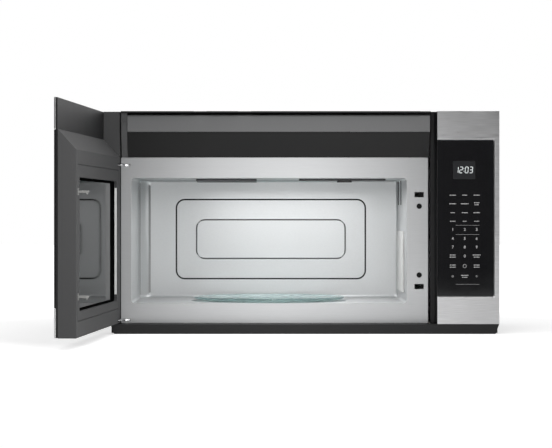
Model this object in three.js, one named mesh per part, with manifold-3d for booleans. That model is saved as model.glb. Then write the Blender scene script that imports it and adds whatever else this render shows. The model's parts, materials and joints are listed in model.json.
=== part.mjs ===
// Over the range microwave oven, with its door standing open.
// Millimetres: +X to the right, -Y to the front, +Z up.
// The origin is the centre of the base, under the middle of the cabinet's depth.

import * as THREE from 'three';
import { mergeVertices } from 'three/addons/utils/BufferGeometryUtils.js';
import Module from 'manifold-3d';

const wasm = await Module();
wasm.setup();

// ---- Driving dimensions ----

// Cabinet
const cabinetWidth = 759.5;
const cabinetHeight = 435;
const cabinetDepth = 357; // from the front plate to the back
const faceDepth = 40; // how far door and panel stand in front of the front plate
const sheet = 1; // thickness of the cabinet's sheet steel
const gap = 0.3; // left between pieces that touch
const baseHeight = 18.9; // height of the strip under the door
const baseEndSlope = 8; // how far the strip's ends lean in
const sideFlange = 18.5; // front flange of the left cabinet side

// Front plate and cooking cavity
const outletHeight = 89.8; // the air outlet, between the front plate and the top
const frameSheet = 1.2;
const frameReturn = 12; // depth of the plate's turned edge
const frameFromPanel = 4; // from the plate's right edge to the control panel
const frameMargin = 20.2; // from the plate's left edge to the cavity
const frameMarginRight = 41.75; // from the cavity to the plate's right edge
const frameMarginLow = 39.3; // from the plate's lower edge to the cavity
const frameMarginHigh = 40.4;
const cavityDepth = 340;
const cavityCorner = 6;
const linerSheet = 1;
const cornerFlatWidth = 22; // flat across the rear left corner
const cornerFlatDepth = 14;
const padWidth = 401; // outer embossed outline of the back wall
const padHeight = 169.7;
const padCorner = 19;
const padBand = 42.5; // width of the sunk band between the outlines
const padSink = 3;
const padRaise = 0.4; // how far the pads' centre stands above mid height, less the tray
const dishRadius = 158;
const dishDepth = 14;

// Door
const doorFootGap = 1.6; // over the strip under the door
const doorTopGap = 0.5; // under the top of the cabinet
const doorInset = 1.5; // from the front plate to the door's inner surface
const doorSkin = 3; // glass and bands
const backingSheet = 2.7;
const doorWall = 3;
const hingeIn = 7.75; // from the door's left edge to the hinge axis
const hingeForward = 11.5; // from the front plate to the hinge axis
const openAngle = 93.5; // the door's resting angle
const recessEdge = 6; // from the hinge axis to the upper recess
const bevelRise = 35.5; // height of the bevel under the recess
const bottomBandHeight = 51.5;
const topBandHeight = 56;
const windowStart = 50; // from the hinge axis
const windowFromEnd = 41; // from the door's free edge
const windowFromBottom = 44.5;
const windowFromBevel = 47;
const grooveWidth = 2; // the moulded line round the window
const grooveDepth = 1.5;
const grooveStart = 24; // from the hinge axis
const grooveFromEnd = 14;
const grooveFromBottom = 27.5;
const grooveFromBevel = 24.5;
const grooveCorner = 10;
const windowSunk = 5;
const windowLedge = 8;
const paneSheet = 1.5;
const screenSheet = 1;

// Hinges
const pinRadius = 3;
const pinClearance = 0.3;
const armSheet = 2.5;
const armHalfWidth = 6;
const upperArmDrop = 16.2; // from the front plate's upper edge to the upper arm's underside
const lowerArmRise = 4.8; // from its lower edge to the lower arm's underside
const bracketWidth = 16;
const bracketHeight = 22;
const bracketSheet = 2;
const armRoom = 0.8; // round an arm in its slot in the front plate

// Latches
const latchFromTop = 73.2; // from the front plate's upper edge
const latchFromBottom = 72.1;
const latchSlotWidth = 18;
const latchSlotHeight = 10;
const latchFromFrameEdge = 17.4;
const hookLength = 20;
const hookThickness = 3;
const hookHeight = 4;
const latchTravel = 2.6;
const bumperOffset = 22.7; // bumper to slot
const bumperRadius = 5.3;
const bumperStem = 2.7;

// Control panel
const panelWidth = 132.75;
const pocketWidth = 11.6; // finger pocket beside the door
const trimSheet = 3;
const trimTopHeight = 57.4;
const trimBottomHeight = 54.9;
const trimSideWidth = 11.25;
const displayWidth = 43;
const displayHeight = 35;
const displayFromLeft = 30.4;
const displayTopDrop = 40.6;

// Vent grille
const grilleHeadHeight = 33; // upright grey part
const grilleReach = 24.5; // how far it stands forward
const grilleSheet = 2;
const grilleSlots = 22;
const postWidth = 12;
const lipHeight = 3.5;
const lipReach = 33;

// Turntable
const trayRadius = 152.5;
const trayHeight = 10;
const trayGlass = 4;
const rollerRadius = 6;
const rollerWidth = 7;
const rollerTrack = 117;

// ---- Derived planes ----

const left = -cabinetWidth / 2;
const right = cabinetWidth / 2;
const front = -cabinetDepth / 2;
const back = cabinetDepth / 2;
const face = front - faceDepth;
const top = cabinetHeight;
const frameLeft = left + sideFlange + gap;
const panelLeft = right - panelWidth;
const frameRight = panelLeft - frameFromPanel;
const frameBottom = baseHeight + gap;
const frameTop = top - outletHeight;
const cavityLeft = frameLeft + frameMargin;
const cavityRight = frameRight - frameMarginRight;
const cavityFloor = frameBottom + frameMarginLow;
const cavityCeiling = frameTop - frameMarginHigh;
const cavityFront = front + frameSheet + gap;
const cavityBack = front + cavityDepth;
const cavityMidX = (cavityLeft + cavityRight) / 2;
const cavityMidY = front + cavityDepth / 2;
const latchX = frameRight - latchFromFrameEdge;
const latchHigh = frameTop - latchFromTop;
const latchLow = frameBottom + latchFromBottom;
const doorBottom = baseHeight + doorFootGap;
const doorTop = top - doorTopGap;
const bevelLow = frameTop - 0.7;
const hingeX = left + hingeIn;
const hingeY = front - hingeForward;
const bracketLeft = frameLeft + frameSheet + gap;
const bracketRight = bracketLeft + bracketWidth;
const upperArm = frameTop - upperArmDrop;
const lowerArm = frameBottom + lowerArmRise;

// ---- Finishes ----

function finish(color, roughness, metalness) {
  return new THREE.MeshStandardMaterial({ color, roughness, metalness });
}

const blackSteel = finish(0x1c1c1e, 0.5, 0.6);
const paleSteel = finish(0xb9bbbd, 0.38, 0.85);
const brushedSteel = finish(0xa9aaac, 0.34, 0.95);
const blackPlastic = finish(0x17181a, 0.55, 0);
const greyPlastic = finish(0x6f7173, 0.5, 0.1);
const doorPlastic = finish(0x3f4042, 0.55, 0);
const blackGlass = finish(0x0b0c0d, 0.08, 0);
const clearGlass = finish(0xcfe0de, 0.05, 0);
const lampLens = finish(0xe6e6df, 0.4, 0);
const zincSteel = finish(0xa7abad, 0.4, 0.8);
const copperWire = finish(0x9a5a34, 0.4, 0.7);
const boardGreen = finish(0x1f5a3a, 0.6, 0);
const palePlastic = finish(0xd9d8d2, 0.5, 0);
const carbon = finish(0x242424, 0.95, 0);
const mica = finish(0xb9b4a6, 0.7, 0);

// ---- Solids ----

// A closed geometry as a solid that can be joined and cut, with its faces outward.
function solid(geometry) {
  const bare = geometry.clone();
  bare.deleteAttribute('normal');
  bare.deleteAttribute('uv');
  const merged = mergeVertices(bare, 1e-3);
  const corners = merged.index.array;
  const place = merged.attributes.position;
  const [p, q, r] = [new THREE.Vector3(), new THREE.Vector3(), new THREE.Vector3()];
  const triangles = [];
  let volume = 0;
  for (let i = 0; i < corners.length; i += 3) {
    const [a, b, c] = corners.slice(i, i + 3);
    if (a !== b && b !== c && c !== a) {
      triangles.push(a, b, c);
      p.fromBufferAttribute(place, a);
      q.fromBufferAttribute(place, b);
      r.fromBufferAttribute(place, c);
      volume += p.dot(q.cross(r));
    }
  }
  if (volume < 0) {
    triangles.reverse();
  }
  const vertProperties = Float32Array.from(place.array);
  const triVerts = Uint32Array.from(triangles);
  return new wasm.Manifold(new wasm.Mesh({ numProp: 3, vertProperties, triVerts }));
}

function union(...bodies) {
  return bodies.reduce((sum, body) => sum.add(body));
}

function cut(body, ...tools) {
  return tools.reduce((rest, tool) => rest.subtract(tool), body);
}

function block(x0, x1, y0, y1, z0, z1) {
  const box = new THREE.BoxGeometry(x1 - x0, y1 - y0, z1 - z0);
  box.translate((x0 + x1) / 2, (y0 + y1) / 2, (z0 + z1) / 2);
  return solid(box);
}

function outline(points) {
  return new THREE.Shape(points.map(([u, v]) => new THREE.Vector2(u, v)));
}

// A rectangle with round corners, in the plane of the extrusion.
function roundedRect(u0, u1, v0, v1, radius) {
  const shape = new THREE.Shape();
  shape.absarc(u1 - radius, v0 + radius, radius, -Math.PI / 2, 0);
  shape.absarc(u1 - radius, v1 - radius, radius, 0, Math.PI / 2);
  shape.absarc(u0 + radius, v1 - radius, radius, Math.PI / 2, Math.PI);
  shape.absarc(u0 + radius, v0 + radius, radius, Math.PI, 1.5 * Math.PI);
  return shape;
}

// Extrusions along X, Y and Z. The shape is drawn in (y, z), (x, z) and (x, y).
function prism(shape, from, to, u, v, w, curveSegments = 3) {
  const depth = Math.abs(to - from);
  const geometry = new THREE.ExtrudeGeometry(shape, { depth, bevelEnabled: false, curveSegments });
  geometry.applyMatrix4(new THREE.Matrix4().makeBasis(u, v, w));
  return geometry;
}

const alongX = new THREE.Vector3(1, 0, 0);
const alongY = new THREE.Vector3(0, 1, 0);
const alongZ = new THREE.Vector3(0, 0, 1);
const againstY = new THREE.Vector3(0, -1, 0);

function prismX(shape, x0, x1, curveSegments) {
  return solid(prism(shape, x0, x1, alongY, alongZ, alongX, curveSegments).translate(x0, 0, 0));
}

function prismY(shape, y0, y1, curveSegments) {
  return solid(prism(shape, y0, y1, alongX, alongZ, againstY, curveSegments).translate(0, y1, 0));
}

function prismZ(shape, z0, z1, curveSegments) {
  return solid(prism(shape, z0, z1, alongX, alongY, alongZ, curveSegments).translate(0, 0, z0));
}

// A round bar between two points along one axis.
function rodX(radius, x0, x1, y, z, sides = 12) {
  const rod = new THREE.CylinderGeometry(radius, radius, x1 - x0, sides);
  rod.rotateZ(-Math.PI / 2).translate((x0 + x1) / 2, y, z);
  return solid(rod);
}

function rodY(radius, y0, y1, x, z, sides = 12) {
  const rod = new THREE.CylinderGeometry(radius, radius, y1 - y0, sides);
  return solid(rod.translate(x, (y0 + y1) / 2, z));
}

function rodZ(radius, z0, z1, x, y, sides = 12) {
  const rod = new THREE.CylinderGeometry(radius, radius, z1 - z0, sides);
  rod.rotateX(Math.PI / 2).translate(x, y, (z0 + z1) / 2);
  return solid(rod);
}

// A turned piece: pairs of radius and height, about a vertical axis.
function turned(profile, x, y, sides = 32) {
  const points = profile.map(([radius, z]) => new THREE.Vector2(radius, z));
  const lathe = new THREE.LatheGeometry(points, sides);
  return solid(lathe.rotateX(Math.PI / 2).translate(x, y, 0));
}

function geometryOf(body) {
  const { vertProperties, triVerts } = body.getMesh();
  const geometry = new THREE.BufferGeometry();
  geometry.setAttribute('position', new THREE.BufferAttribute(Float32Array.from(vertProperties), 3));
  geometry.setIndex(new THREE.BufferAttribute(Uint32Array.from(triVerts), 1));
  geometry.computeVertexNormals();
  return geometry;
}

const oven = new THREE.Group();

function piece(name, body, material, parent = oven) {
  const mesh = new THREE.Mesh(geometryOf(body), material);
  mesh.name = name;
  parent.add(mesh);
  return mesh;
}

// ---- Cabinet sheet steel ----

const baseSheet = 1.2;
const wrapBottom = baseSheet + gap;
const lipLeft = hingeX + Math.hypot(recessEdge, hingeForward - doorInset) + 0.9;
const lipFront = front - lipReach;
const lipNotches = [hingeX + 155, hingeX + 242, panelLeft - 21];
const notchWidth = 25;
const boltSpan = 560; // between the bolts that hold the top
const boltHole = 4.5;
const grommetFromRight = 79.75;
const grommetX = right - grommetFromRight;
const grommetY = 60;
const grommetHole = 13;

const ductWidth = 254; // knock-outs for an exhaust duct, in the top and the rear sheet
const ductHeight = 83;
const ductX = -60;
const ductFromBack = 34;
const ductFromTop = 26;
const scoreWidth = 1.6;
const scoreDepth = 0.5;

// The scored outline of a knock-out, drawn flat.
function ductOutline(inset, middle) {
  const [reachU, reachV] = [ductWidth / 2 - inset, ductHeight / 2 - inset];
  return roundedRect(ductX - reachU, ductX + reachU, middle - reachV, middle + reachV, 10 - inset);
}

// Two sides and the top, with the left side's front flange and the lip over the grille.
function outerWrap() {
  const shell = cut(
    block(left, right, front, back, wrapBottom, top),
    block(left + sheet, right - sheet, front - 1, back + 1, wrapBottom - 1, top - sheet),
  );
  const flange = block(left, left + sideFlange, front, front + sheet, wrapBottom, top - sheet);
  const shelf = block(lipLeft, panelLeft - gap, lipFront, front + 1, top - sheet, top);
  const lip = block(lipLeft, panelLeft - gap, lipFront, lipFront + sheet, top - lipHeight, top - sheet);
  const notch = lipNotches.map((x) => block(
    x, x + notchWidth, lipFront - 1, lipFront + 6,
    top - 1.6, top + 1,
  ));
  const bolt = [-1, 1].map((side) => rodZ(boltHole, top - 5, top + 5, side * boltSpan / 2, 0, 12));
  const cord = rodZ(grommetHole, top - 5, top + 5, grommetX, grommetY, 12);
  const middle = back - ductFromBack - ductHeight / 2;
  const score = cut(
    prismZ(ductOutline(0, middle), top - scoreDepth, top + 1, 2),
    prismZ(ductOutline(scoreWidth, middle), top - 1, top + 2, 2),
  );
  return cut(union(shell, flange, shelf, lip), ...notch, ...bolt, cord, score);
}

const filterGap = 40; // solid steel between the two filters
const filterFromSide = 127.75; // from the cabinet's side
const filterWidth = right - filterFromSide - filterGap / 2;
const filterDepth = 142;
const filterThick = 9;
const filterY = 45;
const filterTravel = 12;
const filterLedge = 7;
const lampLensWidth = 96;
const lampLensDepth = 56;
const lampFromSide = 169.75; // from the cabinet's side to its middle
const lampX = right - lampFromSide;
const lampY = -112;
const lampLedge = 5;
const rimHeight = 12;

function filterCentre(side) {
  return side * (filterGap + filterWidth) / 2;
}

// The tray under the cabinet: front strip, turned rim, filter and lamp openings, filter rails.
function basePan() {
  const section = outline([
    [face, 0],
    [back - sheet - gap, 0],
    [back - sheet - gap, rimHeight],
    [back - sheet - gap - baseSheet, rimHeight],
    [back - sheet - gap - baseSheet, baseSheet],
    [face + baseSheet, baseSheet],
    [face + baseSheet, baseHeight - baseSheet],
    [front - 1, baseHeight - baseSheet],
    [front - 1, baseHeight],
    [face, baseHeight],
  ]);
  const inside = right - sheet - gap;
  let pan = union(
    cut(prismX(section, left, right), block(left - 1, right + 1, front - 1, back, -1, baseHeight + 1)),
    block(left, right, front - 2, back - sheet - gap, 0, baseSheet),
    cut(prismX(section, -inside, inside), block(left, right, face - 1, front - 1, -1, baseHeight + 1)),
  );
  for (const side of [-1, 1]) {
    const slope = new THREE.Shape([
      new THREE.Vector2(side * (right - baseEndSlope), -1),
      new THREE.Vector2(side * (right + 1), -1),
      new THREE.Vector2(side * (right + 1), baseHeight + 1),
      new THREE.Vector2(side * right, baseHeight + 1),
    ]);
    pan = cut(pan, prismY(slope, face - 1, front - 1.5));
    const x = filterCentre(side);
    const reachX = filterWidth / 2 - filterLedge - filterTravel / 2;
    const reachY = filterDepth / 2 - filterLedge;
    const hole = roundedRect(x - reachX, x + reachX, filterY - reachY, filterY + reachY, 8);
    pan = cut(pan, prismZ(hole, -1, baseSheet + 1, 2));
    const lensX = side * lampX;
    const lensReachX = lampLensWidth / 2 - lampLedge;
    const lensReachY = lampLensDepth / 2 - lampLedge;
    const lens = roundedRect(
      lensX - lensReachX, lensX + lensReachX,
      lampY - lensReachY, lampY + lensReachY, 6,
    );
    pan = cut(pan, prismZ(lens, -1, baseSheet + 1, 2));
    const railFrom = x - filterWidth / 2;
    const railTo = x + filterWidth / 2;
    for (const edge of [-1, 1]) {
      const rail = filterY + edge * (filterDepth / 2 + gap);
      const [y0, y1] = [rail, rail + edge * baseSheet].sort((a, b) => a - b);
      const high = baseSheet + filterThick + 3;
      pan = union(pan, block(railFrom, railTo, y0, y1, baseSheet - 0.2, high));
      const [h0, h1] = [rail - edge * 6, rail + edge * baseSheet].sort((a, b) => a - b);
      pan = union(pan, block(railFrom, railTo, h0, h1, high - baseSheet, high));
    }
  }
  return pan;
}

const hangSlotSpan = 480;
const hangSlotLevel = 300; // above the base
const hangSlotWidth = 30;
const hangSlotHeight = 8;

// The rear sheet, with the slots by which it hangs on its wall plate.
function backPanel() {
  const inside = right - sheet - gap;
  const plate = block(-inside, inside, back - sheet, back, wrapBottom, top - sheet - gap);
  const slots = [-1, 1].map((side) => {
    const x = (side * hangSlotSpan) / 2;
    const slot = roundedRect(
      x - hangSlotWidth / 2, x + hangSlotWidth / 2,
      hangSlotLevel - hangSlotHeight / 2, hangSlotLevel + hangSlotHeight / 2, 3,
    );
    return prismY(slot, back - 5, back + 5, 1);
  });
  const middle = top - ductFromTop - ductHeight / 2;
  const score = cut(
    prismY(ductOutline(0, middle), back - scoreDepth, back + 1, 2),
    prismY(ductOutline(scoreWidth, middle), back - 1, back + 2, 2),
  );
  return cut(plate, ...slots, score);
}

// The silver plate round the cavity, with turned edges, latch and hinge slots and bumper holes.
function frontFrame() {
  const rim = roundedRect(frameLeft, frameRight, frameBottom, frameTop, 3);
  const inner = roundedRect(
    frameLeft + frameSheet, frameRight - frameSheet,
    frameBottom + frameSheet, frameTop - frameSheet, 2,
  );
  const mouth = roundedRect(cavityLeft, cavityRight, cavityFloor, cavityCeiling, cavityCorner);
  const tray = cut(
    prismY(rim, front, front + frameReturn, 2),
    prismY(inner, front + frameSheet, front + frameReturn + 1, 2),
    prismY(mouth, front - 1, front + frameReturn + 1),
  );
  const openings = [latchHigh, latchLow].map((z) => {
    const reachX = latchSlotWidth / 2;
    const reachZ = latchSlotHeight / 2;
    const slot = roundedRect(latchX - reachX, latchX + reachX, z - reachZ, z + reachZ, 1);
    return prismY(slot, front - 1, front + 5, 1);
  });
  const hinges = [upperArm, lowerArm].map((z) => block(
    bracketLeft - gap, bracketRight + armRoom, front - 1, front + frameSheet + 1,
    z - armRoom, z + armSheet + armRoom,
  ));
  const holes = bumperHeights().map((z) => rodY(bumperStem + gap, front - 1, front + 5, latchX, z));
  return cut(tray, ...openings, ...hinges, ...holes);
}

function bumperHeights() {
  return [latchHigh - bumperOffset, latchLow + bumperOffset];
}

function doorBumper(z) {
  const head = rodY(bumperRadius, front - doorInset + gap, front - gap, latchX, z, 20);
  return union(head, rodY(bumperStem, front - 1, front + frameSheet + 1, latchX, z));
}

piece('outer_wrap', outerWrap(), blackSteel);
piece('base_pan', basePan(), blackSteel);
piece('back_panel', backPanel(), zincSteel);
piece('front_frame', frontFrame(), paleSteel);
bumperHeights().forEach((z, i) => {
  piece(`door_bumper_${i + 1}`, doorBumper(z), blackPlastic);
});

// A rubber ring in the top, where the supply lead leaves the cabinet.
const grommetLip = 1.5;
const grommet = turned([
  [grommetHole - 3, top - sheet - 4],
  [grommetHole + 2, top - sheet - 4],
  [grommetHole + 2, top - sheet - gap],
  [grommetHole - gap, top - sheet - gap],
  [grommetHole - gap, top],
  [grommetHole - grommetLip, top],
  [grommetHole - 3, top - 1],
  [grommetHole - 3, top - sheet - 4],
], grommetX, grommetY, 12);
piece('cord_grommet', grommet, blackPlastic);

// ---- Cooking cavity ----

const wallX = cavityRight + linerSheet; // outer face of the right wall
const wallZ = cavityCeiling + linerSheet; // upper face of the ceiling
const padMidX = cavityMidX + 4;
const padMidZ = (cavityFloor + cavityCeiling) / 2 - padRaise;
const guideFront = 20; // the waveguide's opening
const guideBack = 100;
const guideLow = 100;
const guideHigh = 180;
const spindleHole = 7;
const louvreHeight = 50;
const louvreLength = 34; // along the wall, open at its rear end
const louvreReach = 4.5; // how far it is pressed outwards
const louvreDrop = 2; // under the ceiling
const louvreEnds = [cavityMidY + 62, cavityMidY + 160];
const guideCoverSheet = 3;
const guideCoverFront = 78; // in front of the middle of the cavity
const guideCoverBack = 150;
const guideCoverLow = 77;
const guideCoverHigh = 199;

// A plan outline of the cavity, grown outwards by a sheet thickness.
function cavityPlan(grow, from) {
  const x0 = cavityLeft - grow;
  const y1 = cavityBack + grow;
  return outline([
    [x0, from],
    [cavityRight + grow, from],
    [cavityRight + grow, y1],
    [x0 + cornerFlatWidth, y1],
    [x0, y1 - cornerFlatDepth],
  ]);
}

function padOutline(inset) {
  const reachX = padWidth / 2 - inset;
  const reachZ = padHeight / 2 - inset;
  const radius = inset > padBand / 2 ? padCorner - 1 : padCorner;
  return roundedRect(padMidX - reachX, padMidX + reachX, padMidZ - reachZ, padMidZ + reachZ, radius);
}

// The pressed cavity: five walls, two embossed outlines at the back, a round dish in the floor.
function cavityLiner() {
  let liner = prismZ(cavityPlan(linerSheet, cavityFront), cavityFloor - linerSheet, wallZ);
  liner = cut(liner, prismZ(cavityPlan(0, cavityFront - 1), cavityFloor, cavityCeiling));
  const grown = cavityBack + linerSheet;
  liner = union(liner, prismY(padOutline(-linerSheet), cavityBack, grown + padSink, 3));
  liner = cut(liner, prismY(padOutline(0), cavityBack - 1, cavityBack + padSink, 3));
  liner = union(liner, prismY(padOutline(padBand), cavityBack, grown + padSink, 3));
  liner = cut(liner, prismY(padOutline(padBand + linerSheet), grown, grown + padSink + 1, 3));
  const low = cavityFloor - dishDepth;
  const slope = 6;
  liner = union(liner, turned([
    [0, low - linerSheet],
    [dishRadius - slope + linerSheet, low - linerSheet],
    [dishRadius + linerSheet, cavityFloor - linerSheet / 2],
    [0, cavityFloor - linerSheet / 2],
  ], cavityMidX, cavityMidY, 32));
  liner = cut(liner, turned([
    [0, low],
    [dishRadius - slope, low],
    [dishRadius, cavityFloor + 1],
    [0, cavityFloor + 1],
  ], cavityMidX, cavityMidY, 32));
  liner = cut(liner, rodZ(spindleHole, low - 5, low + 5, cavityMidX, cavityMidY, 20));
  const window = block(cavityRight - 1, wallX + 1, guideFront, guideBack, guideLow, guideHigh);
  for (const end of louvreEnds) {
    liner = union(liner, louvre(cavityRight + linerSheet / 2, end, linerSheet));
    liner = cut(liner, louvre(cavityRight - 1, end + 1, 0));
  }
  return cut(liner, window);
}

// An air louvre pressed out of the right wall, which swells towards its rear end. It is grown by
// the sheet for its outer form.
function louvre(inner, end, grow) {
  const from = end - louvreLength - grow;
  const high = cavityCeiling - louvreDrop;
  return prismZ(outline([
    [inner, from],
    [cavityRight + grow, from],
    [cavityRight + louvreReach + grow, from + louvreLength / 3],
    [cavityRight + louvreReach + grow, end],
    [inner, end],
  ]), high - louvreHeight - grow, high + grow);
}

piece('cavity_liner', cavityLiner(), paleSteel);

// A plate over the waveguide's mouth, and two flat covers under the ceiling.
const guideCover = block(
  cavityRight - gap - guideCoverSheet, cavityRight - gap,
  cavityMidY - guideCoverFront, cavityMidY + guideCoverBack, guideCoverLow, guideCoverHigh,
);
piece('waveguide_cover', guideCover, mica);

const ceilingCoverThick = 3; // at its front edge
const ceilingCoverFall = 3.2; // how much lower the left one's rear edge hangs
const ceilingCoverDepth = 90;
const ceilingCoverFront = 60; // in front of the middle of the cavity
const leftCoverStart = 124; // from the cavity's left wall
const leftCoverWidth = 122;
const rightCoverStart = 36; // from the cavity's right wall
const rightCoverWidth = 174;

const coverButtonStart = 76; // from the right cover's left end
const coverButtonWidth = 30;
const coverButtonDrop = 4;

// A wedge under the ceiling, with round corners in plan.
function ceilingCover(x0, width, fall) {
  const from = cavityMidY - ceilingCoverFront;
  const high = cavityCeiling - gap;
  const plan = prismZ(roundedRect(x0, x0 + width, from, from + ceilingCoverDepth, 6), high - 20, high, 3);
  const side = prismX(outline([
    [from - 1, high - ceilingCoverThick],
    [from + ceilingCoverDepth + 1, high - ceilingCoverThick - fall],
    [from + ceilingCoverDepth + 1, high],
    [from - 1, high],
  ]), x0, x0 + width);
  return plan.intersect(side);
}

const leftCover = ceilingCover(cavityLeft + leftCoverStart, leftCoverWidth, ceilingCoverFall);
const rightCoverX = cavityRight - rightCoverStart - rightCoverWidth;
const rightCover = ceilingCover(rightCoverX, rightCoverWidth, 0);
const buttonX = rightCoverX + coverButtonStart;
const buttonFront = cavityMidY - ceilingCoverFront + 6;
const button = prismZ(
  roundedRect(buttonX, buttonX + coverButtonWidth, buttonFront, buttonFront + 16, 7),
  cavityCeiling - gap - ceilingCoverThick - coverButtonDrop, cavityCeiling - gap - 1, 3,
);
piece('ceiling_cover_left', leftCover, mica);
piece('ceiling_cover_right', union(rightCover, button), mica);

// ---- Air outlet over the cavity ----

const outletGap = 3.5; // between the grille's head and the lip
const grilleLeft = lipLeft + postWidth + gap;
const grilleRight = panelLeft - gap - 1.5;
const headTop = top - lipHeight - outletGap;
const headBottom = headTop - grilleHeadHeight;
const grilleFoot = frameTop + gap;
const grilleFront = front - grilleReach;

// The upright grey head, with a turned top edge pierced by air slots.
function grilleHead() {
  const outer = outline([
    [front - gap, headBottom],
    [grilleFront, headBottom],
    [grilleFront, headTop - 3],
    [grilleFront + 3, headTop],
    [front - gap, headTop],
  ]);
  const inner = outline([
    [front + 1, headBottom - 1],
    [grilleFront + grilleSheet, headBottom - 1],
    [grilleFront + grilleSheet, headTop - grilleSheet - 1],
    [grilleFront + grilleSheet + 1, headTop - grilleSheet],
    [front + 1, headTop - grilleSheet],
  ]);
  const hollow = prismX(inner, grilleLeft + grilleSheet, grilleRight - grilleSheet);
  const head = cut(prismX(outer, grilleLeft, grilleRight), hollow);
  const pitch = (grilleRight - grilleLeft - 2 * grilleSheet) / grilleSlots;
  const slots = [];
  for (let i = 0; i < grilleSlots; i += 1) {
    const x = grilleLeft + grilleSheet + (i + 0.5) * pitch;
    const reach = pitch * 0.36;
    slots.push(block(x - reach, x + reach, grilleFront + 6, front - 3, headTop - 4, headTop + 1));
  }
  return cut(head, union(...slots));
}

// The dark apron that slopes back from the head to the front plate.
function grilleApron() {
  const high = headBottom - gap;
  const outer = outline([
    [front - gap, grilleFoot],
    [front - 2, grilleFoot],
    [grilleFront + 1, high],
    [front - gap, high],
  ]);
  const inner = outline([
    [front + 1, grilleFoot + grilleSheet],
    [front - 1.2, grilleFoot + grilleSheet],
    [grilleFront + 1 + grilleSheet, high + 1],
    [front + 1, high + 1],
  ]);
  const hollow = prismX(inner, grilleLeft + grilleSheet, grilleRight - grilleSheet);
  return cut(prismX(outer, grilleLeft, grilleRight), hollow);
}

const postReach = 22;

// The post that closes the grille's left end, sloped at its foot like the apron, with its screw.
function endPost() {
  const side = outline([
    [front - gap, grilleFoot],
    [front - 2, grilleFoot],
    [front - postReach, headBottom],
    [front - postReach, top - sheet - gap],
    [front - gap, top - sheet - gap],
  ]);
  const post = prismX(side, lipLeft, lipLeft + postWidth);
  const seat = front - postReach;
  const screw = rodY(3.2, seat - 1.4, seat + 1, lipLeft + postWidth / 2, top - 20, 14);
  return union(post, screw);
}

// A filter block that stands on the cavity's ceiling, behind the grille.
const carbonThick = 12;
const carbonGap = 8;
const carbonLeft = -230;
const carbonWidth = 320;
const carbonHeight = 96;
const carbonPockets = 8;
const carbonRim = 5;

function carbonFilter() {
  const from = front + frameReturn + carbonGap;
  const low = wallZ + gap;
  const frame = roundedRect(carbonLeft, carbonLeft + carbonWidth, low, low + carbonHeight, 4);
  const body = prismY(frame, from, from + carbonThick, 2);
  const pitch = (carbonWidth - 2 * carbonRim) / carbonPockets;
  const pockets = [];
  for (let i = 0; i < carbonPockets; i += 1) {
    const x = carbonLeft + carbonRim + (i + 0.5) * pitch;
    const reach = pitch * 0.45;
    const [z0, z1] = [low + carbonRim, low + carbonHeight - carbonRim];
    pockets.push(block(x - reach, x + reach, from - 1, from + 3, z0, z1));
  }
  return cut(body, union(...pockets));
}

piece('grille_head', grilleHead(), greyPlastic);
piece('grille_apron', grilleApron(), blackPlastic);
piece('grille_end_post', endPost(), greyPlastic);
piece('charcoal_filter', carbonFilter(), carbon);

// ---- Control panel ----

const trimLeft = panelLeft + pocketWidth;
const glassRight = right - trimSideWidth;
const glassTop = top - trimTopHeight;
const glassBottom = baseHeight + trimBottomHeight;
const trimBack = face + trimSheet;
const housingFront = trimBack + gap;
const housingTop = top - 0.4;
const housingBottom = baseHeight + gap;
const pocketFloor = 9; // thickness of plastic behind the finger pocket
const housingWall = 3;
const lensLeft = trimLeft + displayFromLeft;
const lensTop = glassTop - displayTopDrop;
const lensPlan = [lensLeft, lensLeft + displayWidth, lensTop - displayHeight, lensTop];

// Moulded carrier: the finger pocket curves out of its left side, the back is open.
function controlHousing() {
  const plan = new THREE.Shape();
  const bend = pocketWidth - 4;
  plan.moveTo(panelLeft, front - gap);
  plan.lineTo(panelLeft, front - pocketFloor);
  plan.lineTo(trimLeft - bend, front - pocketFloor);
  plan.absarc(trimLeft - bend, front - pocketFloor - bend, bend - gap, Math.PI / 2, 0, true);
  plan.lineTo(trimLeft - gap, housingFront);
  plan.lineTo(right - 0.4, housingFront);
  plan.lineTo(right - 0.4, front - gap);
  const shell = prismZ(plan, housingBottom, housingTop, 5);
  const hollow = block(
    trimLeft + housingWall, right - 0.4 - housingWall, housingFront + housingWall, front + 1,
    housingBottom + housingWall, housingTop - housingWall,
  );
  const [x0, x1, z0, z1] = lensPlan;
  const window = block(x0, x1, housingFront - 1, housingFront + housingWall + 1, z0, z1);
  return cut(shell, hollow, window);
}

// Brushed face: top block, bottom block and right strip, with eased edges to the glass.
function controlTrim() {
  const bevel = 2.4;
  const plate = block(trimLeft, right, face, trimBack, housingBottom, top);
  const opening = outline([
    [trimLeft - 1, glassBottom],
    [glassRight, glassBottom],
    [glassRight, glassTop],
    [trimLeft - 1, glassTop],
  ]);
  const sill = (z, turn) => prismX(outline([
    [face - 1, z + turn * (bevel + 1)],
    [face - 1, z - turn],
    [face + bevel, z - turn],
    [face + bevel, z],
  ]), trimLeft - 1, glassRight + bevel);
  const jamb = prismZ(outline([
    [glassRight + bevel + 1, face - 1],
    [glassRight + bevel, face],
    [glassRight, face + bevel],
    [glassRight - 1, face + bevel],
    [glassRight - 1, face - 1],
  ]), glassBottom, glassTop);
  return cut(plate, prismY(opening, face - 1, trimBack + 1), sill(glassTop, 1), sill(glassBottom, -1), jamb);
}

function controlGlass() {
  const plate = block(
    trimLeft, glassRight - gap, face + 0.2, trimBack,
    glassBottom + gap, glassTop - gap,
  );
  const [x0, x1, z0, z1] = lensPlan;
  return cut(plate, prismY(roundedRect(x0, x1, z0, z1, 2), face - 1, trimBack + 1, 2));
}

function displayLens() {
  const [x0, x1, z0, z1] = lensPlan;
  const shape = roundedRect(x0 + gap, x1 - gap, z0 + gap, z1 - gap, 2);
  return prismY(shape, face + 0.4, trimBack, 2);
}

const boardY = housingFront + housingWall + 12;
const boardSheet = 1.6;
const boardInset = 12;

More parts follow.
